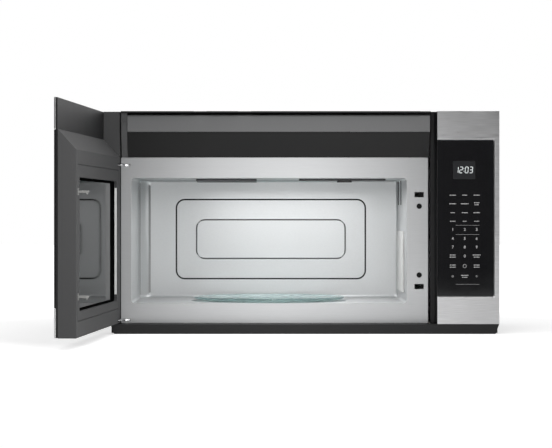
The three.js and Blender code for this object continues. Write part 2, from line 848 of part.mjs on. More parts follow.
// Circuit board on four posts, with the display block, relays and a small transformer.
function controlBoard() {
  const [x0, x1, z0, z1] = lensPlan;
  const boardLeft = trimLeft + housingWall + 3;
  const boardRight = right - housingWall - 3;
  const boardLow = housingBottom + 70;
  const boardHigh = lensTop + boardInset;
  let board = block(boardLeft, boardRight, boardY, boardY + boardSheet, boardLow, boardHigh);
  for (const x of [boardLeft + 6, boardRight - 6]) {
    for (const z of [boardLow + 8, boardHigh - 5]) {
      board = union(board, rodY(2.5, housingFront + housingWall + gap, boardY + 0.5, x, z, 8));
    }
  }
  const display = block(x0 + 2, x1 - 2, trimBack + gap, boardY + 0.5, z0 + 2, z1 - 2);
  const relays = [0, 1, 2].map((i) => {
    const z = boardLow + 20 + i * 26;
    return block(boardLeft + 8, boardLeft + 27, boardY + 1, boardY + 17, z, z + 16);
  });
  const supply = block(
    boardRight - 42, boardRight - 8, boardY + 1, boardY + 24,
    boardLow + 22, boardLow + 60,
  );
  return union(board, display, ...relays, supply);
}

piece('control_housing', controlHousing(), blackPlastic);
piece('control_trim', controlTrim(), brushedSteel);
piece('control_glass', controlGlass(), blackGlass);
piece('display_lens', displayLens(), blackGlass);
piece('control_board', controlBoard(), boardGreen);

// ---- Hinges on the front plate ----

const pinLength = 18;
const slotClearance = 1.6;

// An angle bracket: a plate behind the front plate, an arm through its slot to the hinge axis,
// and a pin.
function hingeBracket(armLow, pinUp) {
  const plateLow = pinUp ? armLow : armLow + armSheet - bracketHeight;
  const seat = front + frameSheet + gap;
  const plate = block(
    bracketLeft, bracketRight, seat, seat + bracketSheet,
    plateLow, plateLow + bracketHeight,
  );
  const plan = new THREE.Shape();
  plan.moveTo(bracketRight, seat + bracketSheet);
  plan.lineTo(bracketLeft, seat + bracketSheet);
  plan.lineTo(bracketLeft, front - gap);
  plan.lineTo(hingeX - armHalfWidth, front - gap);
  plan.lineTo(hingeX - armHalfWidth, hingeY);
  plan.absarc(hingeX, hingeY, armHalfWidth, Math.PI, 2 * Math.PI);
  plan.lineTo(bracketRight, front - gap - 2);
  const arm = prismZ(plan, armLow, armLow + armSheet, 5);
  const pin = pinUp
    ? rodZ(pinRadius, armLow + 1, armLow + armSheet + pinLength, hingeX, hingeY)
    : rodZ(pinRadius, armLow - pinLength, armLow + 1, hingeX, hingeY);
  return union(plate, arm, pin);
}

piece('upper_hinge', hingeBracket(upperArm, false), zincSteel);
piece('lower_hinge', hingeBracket(lowerArm, true), zincSteel);

// ---- Door, drawn closed about its hinge axis and then turned open ----

const door = new THREE.Group();
door.position.set(hingeX, hingeY, 0);
door.rotation.z = -THREE.MathUtils.degToRad(openAngle);
oven.add(door);

const doorEdgeGap = 1;
const doorStart = -hingeIn;
const doorEnd = panelLeft - doorEdgeGap - hingeX;
const windowEnd = doorEnd - windowFromEnd;
const windowLow = doorBottom + windowFromBottom;
const windowHigh = bevelLow - windowFromBevel;
const glassLow = doorBottom + bottomBandHeight;
const glassHigh = doorTop - topBandHeight;
const innerFace = hingeForward - doorInset;
const outerFace = hingeForward - faceDepth;
const skinBack = outerFace + doorSkin;
const backingOuter = skinBack + gap;
const backingInner = backingOuter + backingSheet;
const bodyBack = backingInner + gap;
const cornerEase = 4;
const paneFace = innerFace - windowSunk;
const screenFace = paneFace - paneSheet - gap;
const ledgeFace = screenFace - screenSheet - gap;
const hookX = latchX - hingeX;
const bossReach = 12; // solid plastic round the hinge pins
const pocketLow = doorBottom + doorWall;
const pocketHigh = bevelLow - doorWall - 1;

function windowOutline(inset, radius) {
  return roundedRect(windowStart + inset, windowEnd - inset, windowLow + inset, windowHigh - inset, radius);
}

// Room for a hinge arm as the door swings round it.
function hingeRoom(armLow) {
  const reach = armHalfWidth + slotClearance;
  const swing = reach + 1.5; // the arm leans into the room as the door goes past its rest
  const armEnd = bracketRight + 3 - hingeX;
  const plan = outline([
    [doorStart - 1, -swing],
    [reach, -swing],
    [reach, -slotClearance],
    [armEnd, innerFace - 2],
    [armEnd, innerFace + 5],
    [doorStart - 1, innerFace + 5],
  ]);
  return prismZ(plan, armLow - 1, armLow + armSheet + 1);
}

// Moulded inner door: upper recess over the grille, bevel, window seat, groove and hinge bores.
function doorBody() {
  let body = block(doorStart, doorEnd, bodyBack, innerFace, doorBottom, doorTop);
  const recess = outline([
    [innerFace, bevelLow],
    [bodyBack, bevelLow + bevelRise],
    [bodyBack - 1, bevelLow + bevelRise],
    [bodyBack - 1, doorTop + 1],
    [innerFace + 1, doorTop + 1],
    [innerFace + 1, bevelLow],
  ]);
  body = cut(body, prismX(recess, recessEdge, doorEnd + 1));
  const pocket = cut(
    block(bossReach, doorEnd - doorWall, bodyBack - 1, innerFace - doorWall, pocketLow, pocketHigh),
    block(
      windowStart - doorWall, windowEnd + doorWall, bodyBack - 2, innerFace + 1,
      windowLow - doorWall, windowHigh + doorWall,
    ),
  );
  const seat = prismY(windowOutline(0, 6), ledgeFace, innerFace + 1, 2);
  const through = prismY(windowOutline(windowLedge, 4), bodyBack - 1, innerFace, 2);
  const line = (inset) => roundedRect(
    grooveStart + inset, doorEnd - grooveFromEnd - inset,
    doorBottom + grooveFromBottom + inset, bevelLow - grooveFromBevel - inset, grooveCorner - inset,
  );
  const groove = cut(
    prismY(line(0), innerFace - grooveDepth, innerFace + 1, 3),
    prismY(line(grooveWidth), innerFace - grooveDepth - 1, innerFace + 2, 3),
  );
  const corner = prismZ(outline([
    [doorStart - 1, innerFace - cornerEase - 1],
    [doorStart + cornerEase + 1, innerFace + 1],
    [doorStart - 1, innerFace + 1],
  ]), doorBottom - 1, doorTop + 1);
  body = cut(body, pocket, seat, through, groove, corner);
  body = cut(body, hingeRoom(upperArm), hingeRoom(lowerArm));
  const bore = pinRadius + pinClearance;
  body = cut(body, rodZ(bore, upperArm - pinLength - 1, upperArm, 0, 0, 16));
  body = cut(body, rodZ(bore, lowerArm, lowerArm + armSheet + pinLength + 1, 0, 0, 16));
  for (const z of [latchHigh, latchLow]) {
    const reachX = hookThickness / 2 + 1;
    const slot = block(
      hookX - reachX, hookX + reachX, innerFace - 5, innerFace + 1,
      z - 7, z + 7 + latchTravel,
    );
    body = cut(body, slot);
  }
  return body;
}

// Steel sheet behind the glass, with its own window.
function doorBacking() {
  const edge = 0.5;
  const sheetOutline = block(
    doorStart + edge, doorEnd - edge, backingOuter, backingInner,
    doorBottom + edge, doorTop - edge,
  );
  return cut(sheetOutline, prismY(windowOutline(windowLedge + 6, 10), backingOuter - 1, backingInner + 1, 3));
}

function doorBand(low, high) {
  const ease = 1;
  const section = outline([
    [outerFace + ease, low],
    [skinBack, low],
    [skinBack, high],
    [outerFace + ease, high],
    [outerFace, high - ease],
    [outerFace, low + ease],
  ]);
  return prismX(section, doorStart, doorEnd);
}

// One bar with two hooks, lying in the door's latch side.
function latchBar() {
  const [x0, x1] = [hookX - hookThickness / 2, hookX + hookThickness / 2];
  const spine = block(x0, x1, -8, innerFace - doorWall - gap, pocketLow + gap, latchHigh + 20);
  const hooks = [latchHigh, latchLow].map((z) => {
    const tip = innerFace + hookLength;
    const shape = outline([
      [-6, z - 6],
      [innerFace + 1, z - 6],
      [innerFace + 1, z - hookHeight / 2],
      [tip - 6, z - hookHeight / 2],
      [tip - 6, z - hookHeight / 2 - 2.2],
      [tip - 4, z - hookHeight / 2 - 2.2],
      [tip, z + hookHeight / 2 - 1],
      [tip - 1, z + hookHeight / 2],
      [innerFace + 1, z + hookHeight / 2],
      [innerFace + 1, z + 6],
      [-6, z + 6],
    ]);
    return prismX(shape, x0, x1);
  });
  return union(spine, ...hooks);
}

// A compression spring that holds the bar down: one wire wound round a helix.
const springTurns = 4;
const springRadius = 4.5;
const springWire = 0.8;
function latchSpring() {
  const low = latchHigh + 20 + gap + springWire;
  const high = pocketHigh - gap - springWire;
  const steps = springTurns * 8;
  const rings = [];
  const sides = 5;
  const axis = new THREE.Vector3();
  for (let i = 0; i <= steps; i += 1) {
    const turn = (i / 8) * 2 * Math.PI;
    axis.set(Math.cos(turn), Math.sin(turn), 0);
    const z = low + ((high - low) * i) / steps;
    for (let j = 0; j < sides; j += 1) {
      const around = (j / sides) * 2 * Math.PI;
      const r = springRadius + springWire * Math.cos(around);
      rings.push(hookX + r * axis.x, r * axis.y, z + springWire * Math.sin(around));
    }
  }
  const index = [];
  for (let i = 0; i < steps; i += 1) {
    for (let j = 0; j < sides; j += 1) {
      const a = i * sides + j;
      const b = i * sides + ((j + 1) % sides);
      index.push(a, a + sides, b, b, a + sides, b + sides);
    }
  }
  const last = steps * sides;
  for (let j = 1; j < sides - 1; j += 1) {
    index.push(0, j, j + 1, last, last + j + 1, last + j);
  }
  const geometry = new THREE.BufferGeometry();
  geometry.setAttribute('position', new THREE.BufferAttribute(Float32Array.from(rings), 3));
  geometry.setIndex(index);
  return solid(geometry);
}

piece('door_body', doorBody(), doorPlastic, door);
piece('door_backing', doorBacking(), doorPlastic, door);
piece('door_glass', block(doorStart, doorEnd, outerFace, skinBack, glassLow, glassHigh), blackGlass, door);
piece('door_top_band', doorBand(glassHigh + gap, doorTop), brushedSteel, door);
piece('door_bottom_band', doorBand(doorBottom, glassLow - gap), brushedSteel, door);
const pane = prismY(windowOutline(gap, 6), paneFace - paneSheet, paneFace, 2);
piece('door_pane', pane, blackGlass, door);
piece('door_screen', prismY(windowOutline(gap, 6), screenFace - screenSheet, screenFace, 2), zincSteel, door);
const strip = block(
  windowStart + gap, windowStart + gap + 1, paneFace + gap, innerFace - 0.4,
  windowLow + 13, windowHigh - 13,
);
piece('window_edge_strip', strip, palePlastic, door);
piece('latch_bar', latchBar(), palePlastic, door);
piece('latch_spring', latchSpring(), zincSteel, door);

// ---- Turntable ----

const spinX = cavityMidX;
const spinY = cavityMidY;
const dishFloor = cavityFloor - dishDepth;
const axleZ = dishFloor + gap + rollerRadius;
const trayBase = axleZ + rollerRadius + gap;
const couplerTop = trayBase - gap;
const couplerArm = 17;
const couplerStem = 5;
const motorTop = dishFloor - linerSheet - gap;
const motorRadius = 25;
const motorHeight = 20;

function threeTimes(make) {
  return [0, 1, 2].map((i) => make((i * 2 * Math.PI) / 3, i));
}

function about(body, angle) {
  return body.rotate([0, 0, THREE.MathUtils.radToDeg(angle)]).translate([spinX, spinY, 0]);
}

function glassTray() {
  const rim = trayRadius;
  const tray = turned([
    [0, trayBase],
    [rim - 26, trayBase],
    [rim - 18, trayBase + 1.2],
    [rim - 5, trayBase + trayHeight / 2 - 0.6],
    [rim, trayBase + trayHeight / 2 + 0.4],
    [rim, trayBase + trayHeight - 1.6],
    [rim - 1.6, trayBase + trayHeight],
    [rim - 3.6, trayBase + trayHeight],
    [rim - 7, trayBase + trayHeight / 2 + trayGlass * 0.75],
    [rim - 18, trayBase + 1.2 + trayGlass],
    [rim - 26, trayBase + trayGlass],
    [0, trayBase + trayGlass],
  ], spinX, spinY, 32);
  const lug = block(11, 17, -3, 3, trayBase - 3.5, trayBase + 1);
  const lugs = threeTimes((angle) => about(lug, angle + Math.PI / 3));
  return union(tray, ...lugs);
}

function turntableCoupler() {
  const hub = rodZ(9, couplerTop - 6, couplerTop, spinX, spinY, 20);
  const stem = rodZ(couplerStem, motorTop - 8, couplerTop - 5, spinX, spinY, 16);
  const arms = threeTimes((angle) => {
    const arm = union(
      block(0, couplerArm - 3, -3, 3, couplerTop - 6, couplerTop),
      rodZ(3, couplerTop - 6, couplerTop, couplerArm - 3, 0, 12),
    );
    return about(arm, angle);
  });
  return union(hub, stem, ...arms);
}

function turntableMotor() {
  const can = rodZ(motorRadius, motorTop - motorHeight, motorTop, spinX, spinY, 24);
  const earReach = motorRadius + 9;
  const ears = block(spinX - earReach, spinX + earReach, spinY - 6, spinY + 6, motorTop - 2, motorTop);
  const plugY = spinY + motorRadius;
  const plug = block(spinX - 9, spinX + 9, plugY - 4, plugY + 8, motorTop - 14, motorTop - 4);
  const bore = rodZ(couplerStem + gap, motorTop - 10, motorTop + 1, spinX, spinY, 16);
  return cut(union(can, ears, plug), bore);
}

const ringOuter = rollerTrack - rollerWidth / 2 - 1.2;
const axleRadius = 1.7;
const axleClearance = 0.3;

function rollerRing() {
  const ring = turned([
    [ringOuter - 8, axleZ - 2.2],
    [ringOuter, axleZ - 2.2],
    [ringOuter, axleZ + 2.2],
    [ringOuter - 8, axleZ + 2.2],
    [ringOuter - 8, axleZ - 2.2],
  ], spinX, spinY, 21);
  const end = rollerTrack + rollerWidth / 2 + gap;
  const axles = threeTimes((angle) => about(union(
    rodX(axleRadius, ringOuter - 2, end + 1, 0, axleZ, 10),
    rodX(axleRadius + 1.4, end, end + 1.4, 0, axleZ, 10),
  ), angle));
  return union(ring, ...axles);
}

piece('glass_tray', glassTray(), clearGlass);
piece('turntable_coupler', turntableCoupler(), palePlastic);
piece('turntable_motor', turntableMotor(), zincSteel);
piece('roller_ring', rollerRing(), palePlastic);

threeTimes((angle, i) => {
  const place = new THREE.Group();
  place.position.set(spinX, spinY, 0);
  place.rotation.z = angle;
  oven.add(place);
  const [x0, x1] = [rollerTrack - rollerWidth / 2, rollerTrack + rollerWidth / 2];
  const wheel = cut(
    rodX(rollerRadius, x0, x1, 0, axleZ, 24),
    rodX(axleRadius + axleClearance, x0 - 1, x1 + 1, 0, axleZ, 10),
  );
  piece(`roller_${i + 1}`, wheel, palePlastic, place);
});

// ---- Microwave source, beside the cavity ----

const guideX = wallX + gap;
const guideReach = 36;
const guideSheet = 1.2;
const guideRim = 8;
const guideMidY = (guideFront + guideBack) / 2;
const guideMidZ = (guideLow + guideHigh) / 2;
const antennaRadius = 10;
const magnetronX = guideX + guideReach + gap;
const magnetronLength = 52;
const magnetronHalf = 45; // half its depth
const yokeHalf = 40; // half its height
const magnetRadius = 27;
const magnetThick = 9;
const finPitch = 7;
const filterBoxReach = 30;

// A channel that opens into the cavity, with a hole for the antenna.
function waveguide() {
  const end = guideX + guideReach;
  const channel = (x0, x1, grow) => block(
    x0, x1, guideFront - grow, guideBack + grow,
    guideLow - grow, guideHigh + grow,
  );
  const shell = channel(guideX, end, guideRim / 2);
  const rim = channel(guideX, guideX + guideSheet, guideRim);
  const hollow = channel(guideX - 1, end - guideSheet, guideRim / 2 - guideSheet);
  const hole = rodX(antennaRadius + 3, end - 5, end + 1, guideMidY, guideMidZ, 20);
  return cut(union(shell, rim), hollow, hole);
}

// Yoke, ring magnets, cooling fins, antenna and the filter box with its socket.
function magnetron() {
  const [y, z, x] = [guideMidY, guideMidZ, magnetronX];
  const end = x + magnetronLength;
  const yoke = cut(
    block(x, end, y - magnetronHalf, y + magnetronHalf, z - yokeHalf, z + yokeHalf),
    block(x + 2, end - 2, y - magnetronHalf + 2, y + magnetronHalf - 2, z - yokeHalf - 1, z + yokeHalf + 1),
  );
  const core = rodX(19, x + 1, end - 1, y, z, 8);
  const magnets = union(
    rodX(magnetRadius, x + 1, x + 1 + magnetThick, y, z, 10),
    rodX(magnetRadius, end - 1 - magnetThick, end - 1, y, z, 10),
  );
  const fins = [];
  for (let i = 0; i < 4; i += 1) {
    const finX = x + magnetronLength / 2 + (i - 1.5) * finPitch - 0.5;
    const [finY, finZ] = [magnetronHalf - 3, yokeHalf - 4];
    fins.push(block(finX, finX + 1, y - finY, y + finY, z - finZ, z + finZ));
  }
  const antenna = union(
    rodX(antennaRadius, x - 16, x + 1, y, z, 16),
    rodX(antennaRadius - 3, x - 22, x - 15, y, z, 12),
  );
  const [boxY, boxZ] = [magnetronHalf - 17, yokeHalf - 6];
  const filterBox = block(end - 0.5, end + filterBoxReach, y - boxY, y + boxY, z - boxZ, z + boxZ);
  const socket = block(end + 8, end + 22, y - boxY - 8, y - boxY + 1, z - 10, z + 10);
  return union(yoke, core, magnets, ...fins, antenna, filterBox, socket);
}

piece('waveguide', waveguide(), zincSteel);
piece('magnetron', magnetron(), zincSteel);

// ---- Cooling fan at the back of the bay ----

const fanFromRight = 79.75; // from the cabinet's right side to its axis
const fanX = right - fanFromRight;
const fanZ = 150;
const fanHalf = 60;
const fanBladeRadius = 50;
const fanDepth = 44;
const fanBack = back - sheet - gap;
const fanFront = fanBack - fanDepth;
const fanMotorRadius = 18;
const fanMotorFront = fanBack - 28;
const fanShaft = 2;

function fanShroud() {
  const square = (half, y0, y1) => block(fanX - half, fanX + half, y0, y1, fanZ - half, fanZ + half);
  const frame = cut(
    square(fanHalf, fanFront, fanBack),
    square(fanHalf - 2, fanFront + 2, fanBack + 1),
    rodY(fanBladeRadius + 3, fanFront - 1, fanFront + 3, fanX, fanZ, 40),
  );
  const bar = block(fanX - fanHalf + 1, fanX + fanHalf - 1, fanBack - 8, fanBack - 5, fanZ - 12, fanZ + 12);
  return union(frame, bar);
}

function fanMotor() {
  const can = rodY(fanMotorRadius, fanMotorFront, fanBack - 8 - gap, fanX, fanZ, 24);
  return cut(can, rodY(fanShaft + gap, fanMotorFront - 1, fanMotorFront + 10, fanX, fanZ, 12));
}

// Five pitched blades on a hub, and the shaft that enters the motor.
function fanBlade() {
  const hubBack = fanMotorFront - 2;
  const hubFront = hubBack - 12;
  const hub = rodY(11, hubFront, hubBack, 0, 0, 20);
  const shaft = rodY(fanShaft, hubBack - 1, fanMotorFront + 8, 0, 0, 12);
  const blades = [];
  for (let i = 0; i < 5; i += 1) {
    const shape = new THREE.Shape();
    shape.moveTo(9, -7);
    shape.lineTo(fanBladeRadius - 8, -13);
    shape.quadraticCurveTo(fanBladeRadius, -6, fanBladeRadius - 4, 9);
    shape.lineTo(9, 6);
    const leaf = prismY(shape, -0.6, 0.6, 4).rotate([28, 0, 0]).translate([0, (hubFront + hubBack) / 2, 0]);
    blades.push(leaf.rotate([0, i * 72, 0]));
  }
  return union(hub, shaft, ...blades).translate([fanX, 0, fanZ]);
}

piece('fan_shroud', fanShroud(), zincSteel);
piece('fan_motor', fanMotor(), blackSteel);
piece('fan_blade', fanBlade(), palePlastic);

// ---- Power parts on the base ----

const seatZ = baseSheet + gap;
const coreFromRight = 67.75; // from the cabinet's right side to its middle
const coreX = right - coreFromRight;
const coreY = -100;
const coreWidth = 100;
const coreHeight = 82;
const coreDepth = 62;

// Laminated core with two windings and a foot plate.
function transformer() {
  const [x0, x1] = [coreX - coreWidth / 2, coreX + coreWidth / 2];
  const foot = block(x0 - 4, x1 + 4, coreY - coreDepth / 2, coreY + coreDepth / 2, seatZ, seatZ + 2);
  const core = block(x0, x1, coreY - coreDepth / 2, coreY + coreDepth / 2, seatZ + 1, seatZ + coreHeight);
  const windings = [0, 1].map((i) => {
    const low = seatZ + 10 + i * 34;
    const shape = roundedRect(x0 + 14, x1 - 14, low, low + 28, 8);
    return prismY(shape, coreY - coreDepth / 2 - 14, coreY + coreDepth / 2 + 14, 2);
  });
  return union(foot, core, ...windings);
}

const canWidth = 52;
const canDepth = 35;
const canHeight = 84;
const canY = coreY + coreDepth / 2 + 50;

// An oval can with two tabs.
function capacitor() {
  const [reachX, reachY] = [canWidth / 2, canDepth / 2];
  const shape = roundedRect(coreX - reachX, coreX + reachX, canY - reachY, canY + reachY, reachY - 0.5);
  const can = prismZ(shape, seatZ, seatZ + canHeight, 4);
  const tabs = [-12, 12].map((x) => block(
    coreX + x - 3, coreX + x + 3, canY - 0.5, canY + 0.5,
    seatZ + canHeight - 1, seatZ + canHeight + 8,
  ));
  return union(can, ...tabs);
}

const diodeLength = 34;
const diodeRadius = 4;
const diodeY = canY + canDepth / 2 + 9;

function diode() {
  const end = coreX + diodeLength / 2;
  const body = rodX(diodeRadius, coreX - diodeLength / 2, end, diodeY, seatZ + diodeRadius, 12);
  const lug = block(end - 2, end + 12, diodeY - 3, diodeY + 3, seatZ, seatZ + 2.5);
  return union(body, lug);
}

const filterBoardX = right - sheet - gap;
const filterBoardY = 30;
const filterBoardZ = 250;
const filterBoardDepth = 110;
const filterBoardHeight = 90;

// A small board on the side wall with a coil, three capacitors and a fuse in its clips.
function noiseFilter() {
  const [x, y, z] = [filterBoardX, filterBoardY, filterBoardZ];
  const board = block(x - 1.6, x, y, y + filterBoardDepth, z, z + filterBoardHeight);
  const coil = rodX(14, x - 22, x - 1, y + 30, z + 50, 16);
  const parts = [20, 42, 64].map((up) => block(x - 14, x - 1, y + 60, y + 82, z + up, z + up + 14));
  const fuse = rodY(3.2, y + 20, y + 56, x - 6, z + 16, 10);
  const clips = block(x - 6, x - 1, y + 18, y + 58, z + 12, z + 20);
  return union(board, coil, ...parts, fuse, clips);
}

piece('transformer', transformer(), copperWire);
piece('capacitor', capacitor(), zincSteel);
piece('diode', diode(), blackPlastic);
piece('noise_filter', noiseFilter(), boardGreen);

// ---- Latch board and its switches, behind the slots ----

const latchPlateX = latchX + 10.7;
const latchPlateThick = 3;
const switchThick = 6;

function latchBoard() {
  const [low, high] = [latchLow - 16, latchHigh + 16];
  const flangeFront = cavityFront;
  const plate = block(
    latchPlateX, latchPlateX + latchPlateThick,
    flangeFront, flangeFront + 50, low, high,
  );
  const flange = block(latchX - 14, latchPlateX + 1, flangeFront, flangeFront + 2.5, low, high);
  const slots = [latchHigh, latchLow].map((z) => {
    const reach = latchSlotHeight / 2 + 1;
    return block(latchX - 10, latchPlateX, flangeFront - 1, flangeFront + 4, z - reach, z + reach);
  });
  const holes = bumperHeights().map((z) => rodY(4, flangeFront - 1, flangeFront + 4, latchX, z, 12));
  const ribs = [-1, 1].map((side) => {
    const z = (low + high) / 2 + side * 50;
    return prismZ(outline([
      [latchX - 12, flangeFront + 2],
      [latchPlateX + 1, flangeFront + 2],
      [latchPlateX + 1, flangeFront + 40],
    ]), z, z + 2.5);
  });
  return union(cut(union(plate, flange), ...slots, ...holes), ...ribs);
}

// A snap switch with its plunger towards the hook and three tabs.
function doorSwitch(z) {
  const from = cavityFront + 24;
  const x1 = latchPlateX - gap;
  const body = block(x1 - switchThick, x1, from, from + 20, z - 5, z + 5);
  const plunger = block(x1 - switchThick + 2, x1 - 2, from - 1.5, from + 1, z - 1.5, z + 1.5);
  const tabs = [2, 9, 16].map((y) => block(x1 - 3.5, x1 - 2.5, from + y, from + y + 3, z + 4, z + 10));
  return union(body, plunger, ...tabs);
}

piece('latch_board', latchBoard(), palePlastic);
piece('door_switch_upper', doorSwitch(latchHigh), blackPlastic);
piece('door_switch_lower', doorSwitch(latchLow), blackPlastic);

// ---- Lamp and thermal cut-out on the cavity ----

const lampHolderLength = 30;
const lampHolderHeight = 40;
const lampHolderReach = 14;
const lampBulbRadius = 8;
const lampBulbLength = 21;

// The holder on the front louvre, with its bulb.
function cavityLamp() {
  const x = cavityRight + linerSheet + louvreReach + gap;
  const from = louvreEnds[0] - lampHolderLength + 8;
  const z = cavityCeiling - louvreDrop - louvreHeight / 2;
  const holder = block(
    x, x + lampHolderReach, from, from + lampHolderLength,
    z - lampHolderHeight / 2, z + lampHolderHeight / 2,
  );
  const bulbEnd = x + lampHolderReach + lampBulbLength;
  const bulb = rodX(lampBulbRadius, x + lampHolderReach - 1, bulbEnd, from + lampHolderLength / 2, z, 14);
  return union(holder, bulb);
}

const cutoutFromRight = 51; // to the cavity's right wall
const cutoutY = 60;

function thermalCutout() {
  const [x, y, z] = [cavityRight - cutoutFromRight, cutoutY, wallZ + gap];
  return union(
    rodZ(8, z, z + 7, x, y, 16),
    block(x - 14, x + 14, y - 5, y + 5, z, z + 1),
    block(x - 5, x - 3.5, y - 3, y + 3, z + 6, z + 14),
    block(x + 3.5, x + 5, y - 3, y + 3, z + 6, z + 14),
  );
}

piece('cavity_lamp', cavityLamp(), lampLens);
piece('thermal_cutout', thermalCutout(), palePlastic);

// ---- Underside: grease filters and cooktop lamps ----

const filterRim = 9;

function greaseFilter(side) {
  const x = filterCentre(side);
  const plan = (inset, radius) => {
    const [reachX, reachY] = [filterWidth / 2 - inset, filterDepth / 2 - inset];
    return roundedRect(x - reachX, x + reachX, filterY - reachY, filterY + reachY, radius);
  };
  const frame = cut(
    prismZ(plan(0, 6), seatZ, seatZ + filterThick, 2),
    prismZ(plan(filterRim, 4), seatZ - 1, seatZ + filterThick + 1, 2),
  );
  const mesh = prismZ(plan(filterRim - 1, 3), seatZ + 2, seatZ + 6, 1);
  const reach = filterDepth / 2 - filterRim + 1;
  const ribs = [-1, 1].map((i) => {
    const ribX = x + (i * filterWidth) / 6;
    return block(ribX - 1.5, ribX + 1.5, filterY - reach, filterY + reach, seatZ + 1, seatZ + 7.5);
  });
  return union(frame, mesh, ...ribs);
}

function cooktopLamp(side) {
  const x = side * lampX;
  const [reachX, reachY] = [lampLensWidth / 2, lampLensDepth / 2];
  const shape = roundedRect(x - reachX, x + reachX, lampY - reachY, lampY + reachY, 7);
  const lens = prismZ(shape, seatZ, seatZ + 2, 2);
  const holder = prismZ(roundedRect(x - 30, x + 30, lampY - 16, lampY + 16, 10), seatZ + 1, seatZ + 20, 2);
  const bulb = rodX(8, x + 28, x + 44, lampY, seatZ + 11, 10);
  return union(lens, holder, bulb);
}

for (const [side, word] of [[-1, 'left'], [1, 'right']]) {
  piece(`grease_filter_${word}`, greaseFilter(side), zincSteel);
  piece(`cooktop_lamp_${word}`, cooktopLamp(side), lampLens);
}

// ---- Blower: two drum wheels on one motor, each in its scroll ----

const blowerX = -60;
const blowerY = 95;
const wheelRadius = 44;
const wheelWidth = 78;
const blowerMotorRadius = 32;
const blowerMotorLength = 84;
const blowerSheet = 1.2;
const scrollStart = 48;
const scrollGrowth = 16;
const scrollOutlet = 85;
const scrollSide = 4; // from a wheel's end to its casing
const blowerZ = wallZ + gap + 56;
const blowerShaft = 3;
const wheelBlades = 10;
const wheelInner = blowerMotorLength / 2 + 10;

// The casing's spiral, from the tongue round to the outlet that faces the grille.
function scrollOutline(inset) {
  const shape = new THREE.Shape();
  const steps = 12;
  for (let i = 0; i <= steps; i += 1) {
    const angle = THREE.MathUtils.degToRad(150 + i * 25);
    const radius = scrollStart + (scrollGrowth * i) / steps - inset;
    const [y, z] = [blowerY + radius * Math.cos(angle), blowerZ + radius * Math.sin(angle)];
    if (i === 0) {
      shape.moveTo(y, z);
    } else {
      shape.lineTo(y, z);
    }
  }
  const out = blowerY - scrollOutlet - (inset > 0 ? 5 : 0);
  shape.lineTo(out, blowerZ + scrollStart + scrollGrowth - inset);
  shape.lineTo(out, blowerZ + scrollStart / 2 + inset);
  return shape;
}

function blowerSides() {
  return [-1, 1].map((side) => {
    const near = blowerX + side * (wheelInner - scrollSide);
    const far = blowerX + side * (wheelInner + wheelWidth + scrollSide);
    return [near, far].sort((a, b) => a - b);
  });
}

function blowerHousing() {
  const scrolls = blowerSides().map(([x0, x1]) => cut(
    prismX(scrollOutline(0), x0, x1),
    prismX(scrollOutline(blowerSheet), x0 + blowerSheet, x1 - blowerSheet),
    rodX(wheelRadius - 8, x0 - 1, x1 + 1, blowerY, blowerZ, 20),
  ));
  const [[x0], [, x1]] = blowerSides();
  const seat = block(x0, x1, blowerY - 26, blowerY + 26, wallZ + gap, wallZ + gap + 2.2);
  const cradleTop = blowerZ - blowerMotorRadius + 8;
  const cradle = cut(
    block(blowerX - 14, blowerX + 14, blowerY - 22, blowerY + 22, wallZ + gap + 1, cradleTop),
    rodX(blowerMotorRadius + gap, blowerX - 15, blowerX + 15, blowerY, blowerZ, 24),
  );
  return union(...scrolls, seat, cradle);
}

function blowerMotor() {
  const reach = blowerMotorLength / 2;
  return cut(
    union(
      rodX(blowerMotorRadius, blowerX - reach + 10, blowerX + reach - 10, blowerY, blowerZ, 24),
      rodX(blowerMotorRadius - 12, blowerX - reach, blowerX + reach, blowerY, blowerZ, 20),
    ),
    rodX(blowerShaft + gap, blowerX - reach - 1, blowerX + reach + 1, blowerY, blowerZ, 8),
  );
}

// A drum of forward-curved blades between two rims, on a middle disc.
function drumWheel(x0) {
  const x1 = x0 + wheelWidth;
  const rim = (from) => cut(
    rodX(wheelRadius, from, from + 2, 0, 0, 12),
    rodX(wheelRadius - 4.5, from - 1, from + 3, 0, 0, 12),
  );
  const mid = (x0 + x1) / 2;
  const disc = rodX(wheelRadius - 7, mid - 1, mid + 1, 0, 0, 10);
  const hub = rodX(9, mid - 9, mid + 9, 0, 0, 8);
  const blades = [];
  for (let i = 0; i < wheelBlades; i += 1) {
    const shape = outline([
      [wheelRadius - 9.4, -1.8],
      [wheelRadius - 4.6, -0.4],
      [wheelRadius - 1, 3.6],
      [wheelRadius - 5.6, 1],
    ]);
    blades.push(prismX(shape, x0 + 0.5, x1 - 0.5).rotate([(i * 360) / wheelBlades, 0, 0]));
  }
  return union(rim(x0), rim(x1 - 2), disc, hub, ...blades);
}

function blowerWheels() {
  const shaftEnd = wheelInner + wheelWidth / 2 + 12;
  const shaft = rodX(blowerShaft, blowerX - shaftEnd, blowerX + shaftEnd, 0, 0, 8);
  const wheels = [drumWheel(blowerX - wheelInner - wheelWidth), drumWheel(blowerX + wheelInner)];
  return union(shaft, ...wheels).translate([0, blowerY, blowerZ]);
}

piece('blower_housing', blowerHousing(), zincSteel);
piece('blower_motor', blowerMotor(), blackSteel);
piece('blower_wheels', blowerWheels(), zincSteel);

export default oven;
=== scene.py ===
# Over the range microwave oven with its door standing open.
# Lengths are metres: +X to the right, -Y to the front, +Z up, from the centre of the base.

import json
import math

import bmesh
import bpy
from mathutils import Matrix, Vector


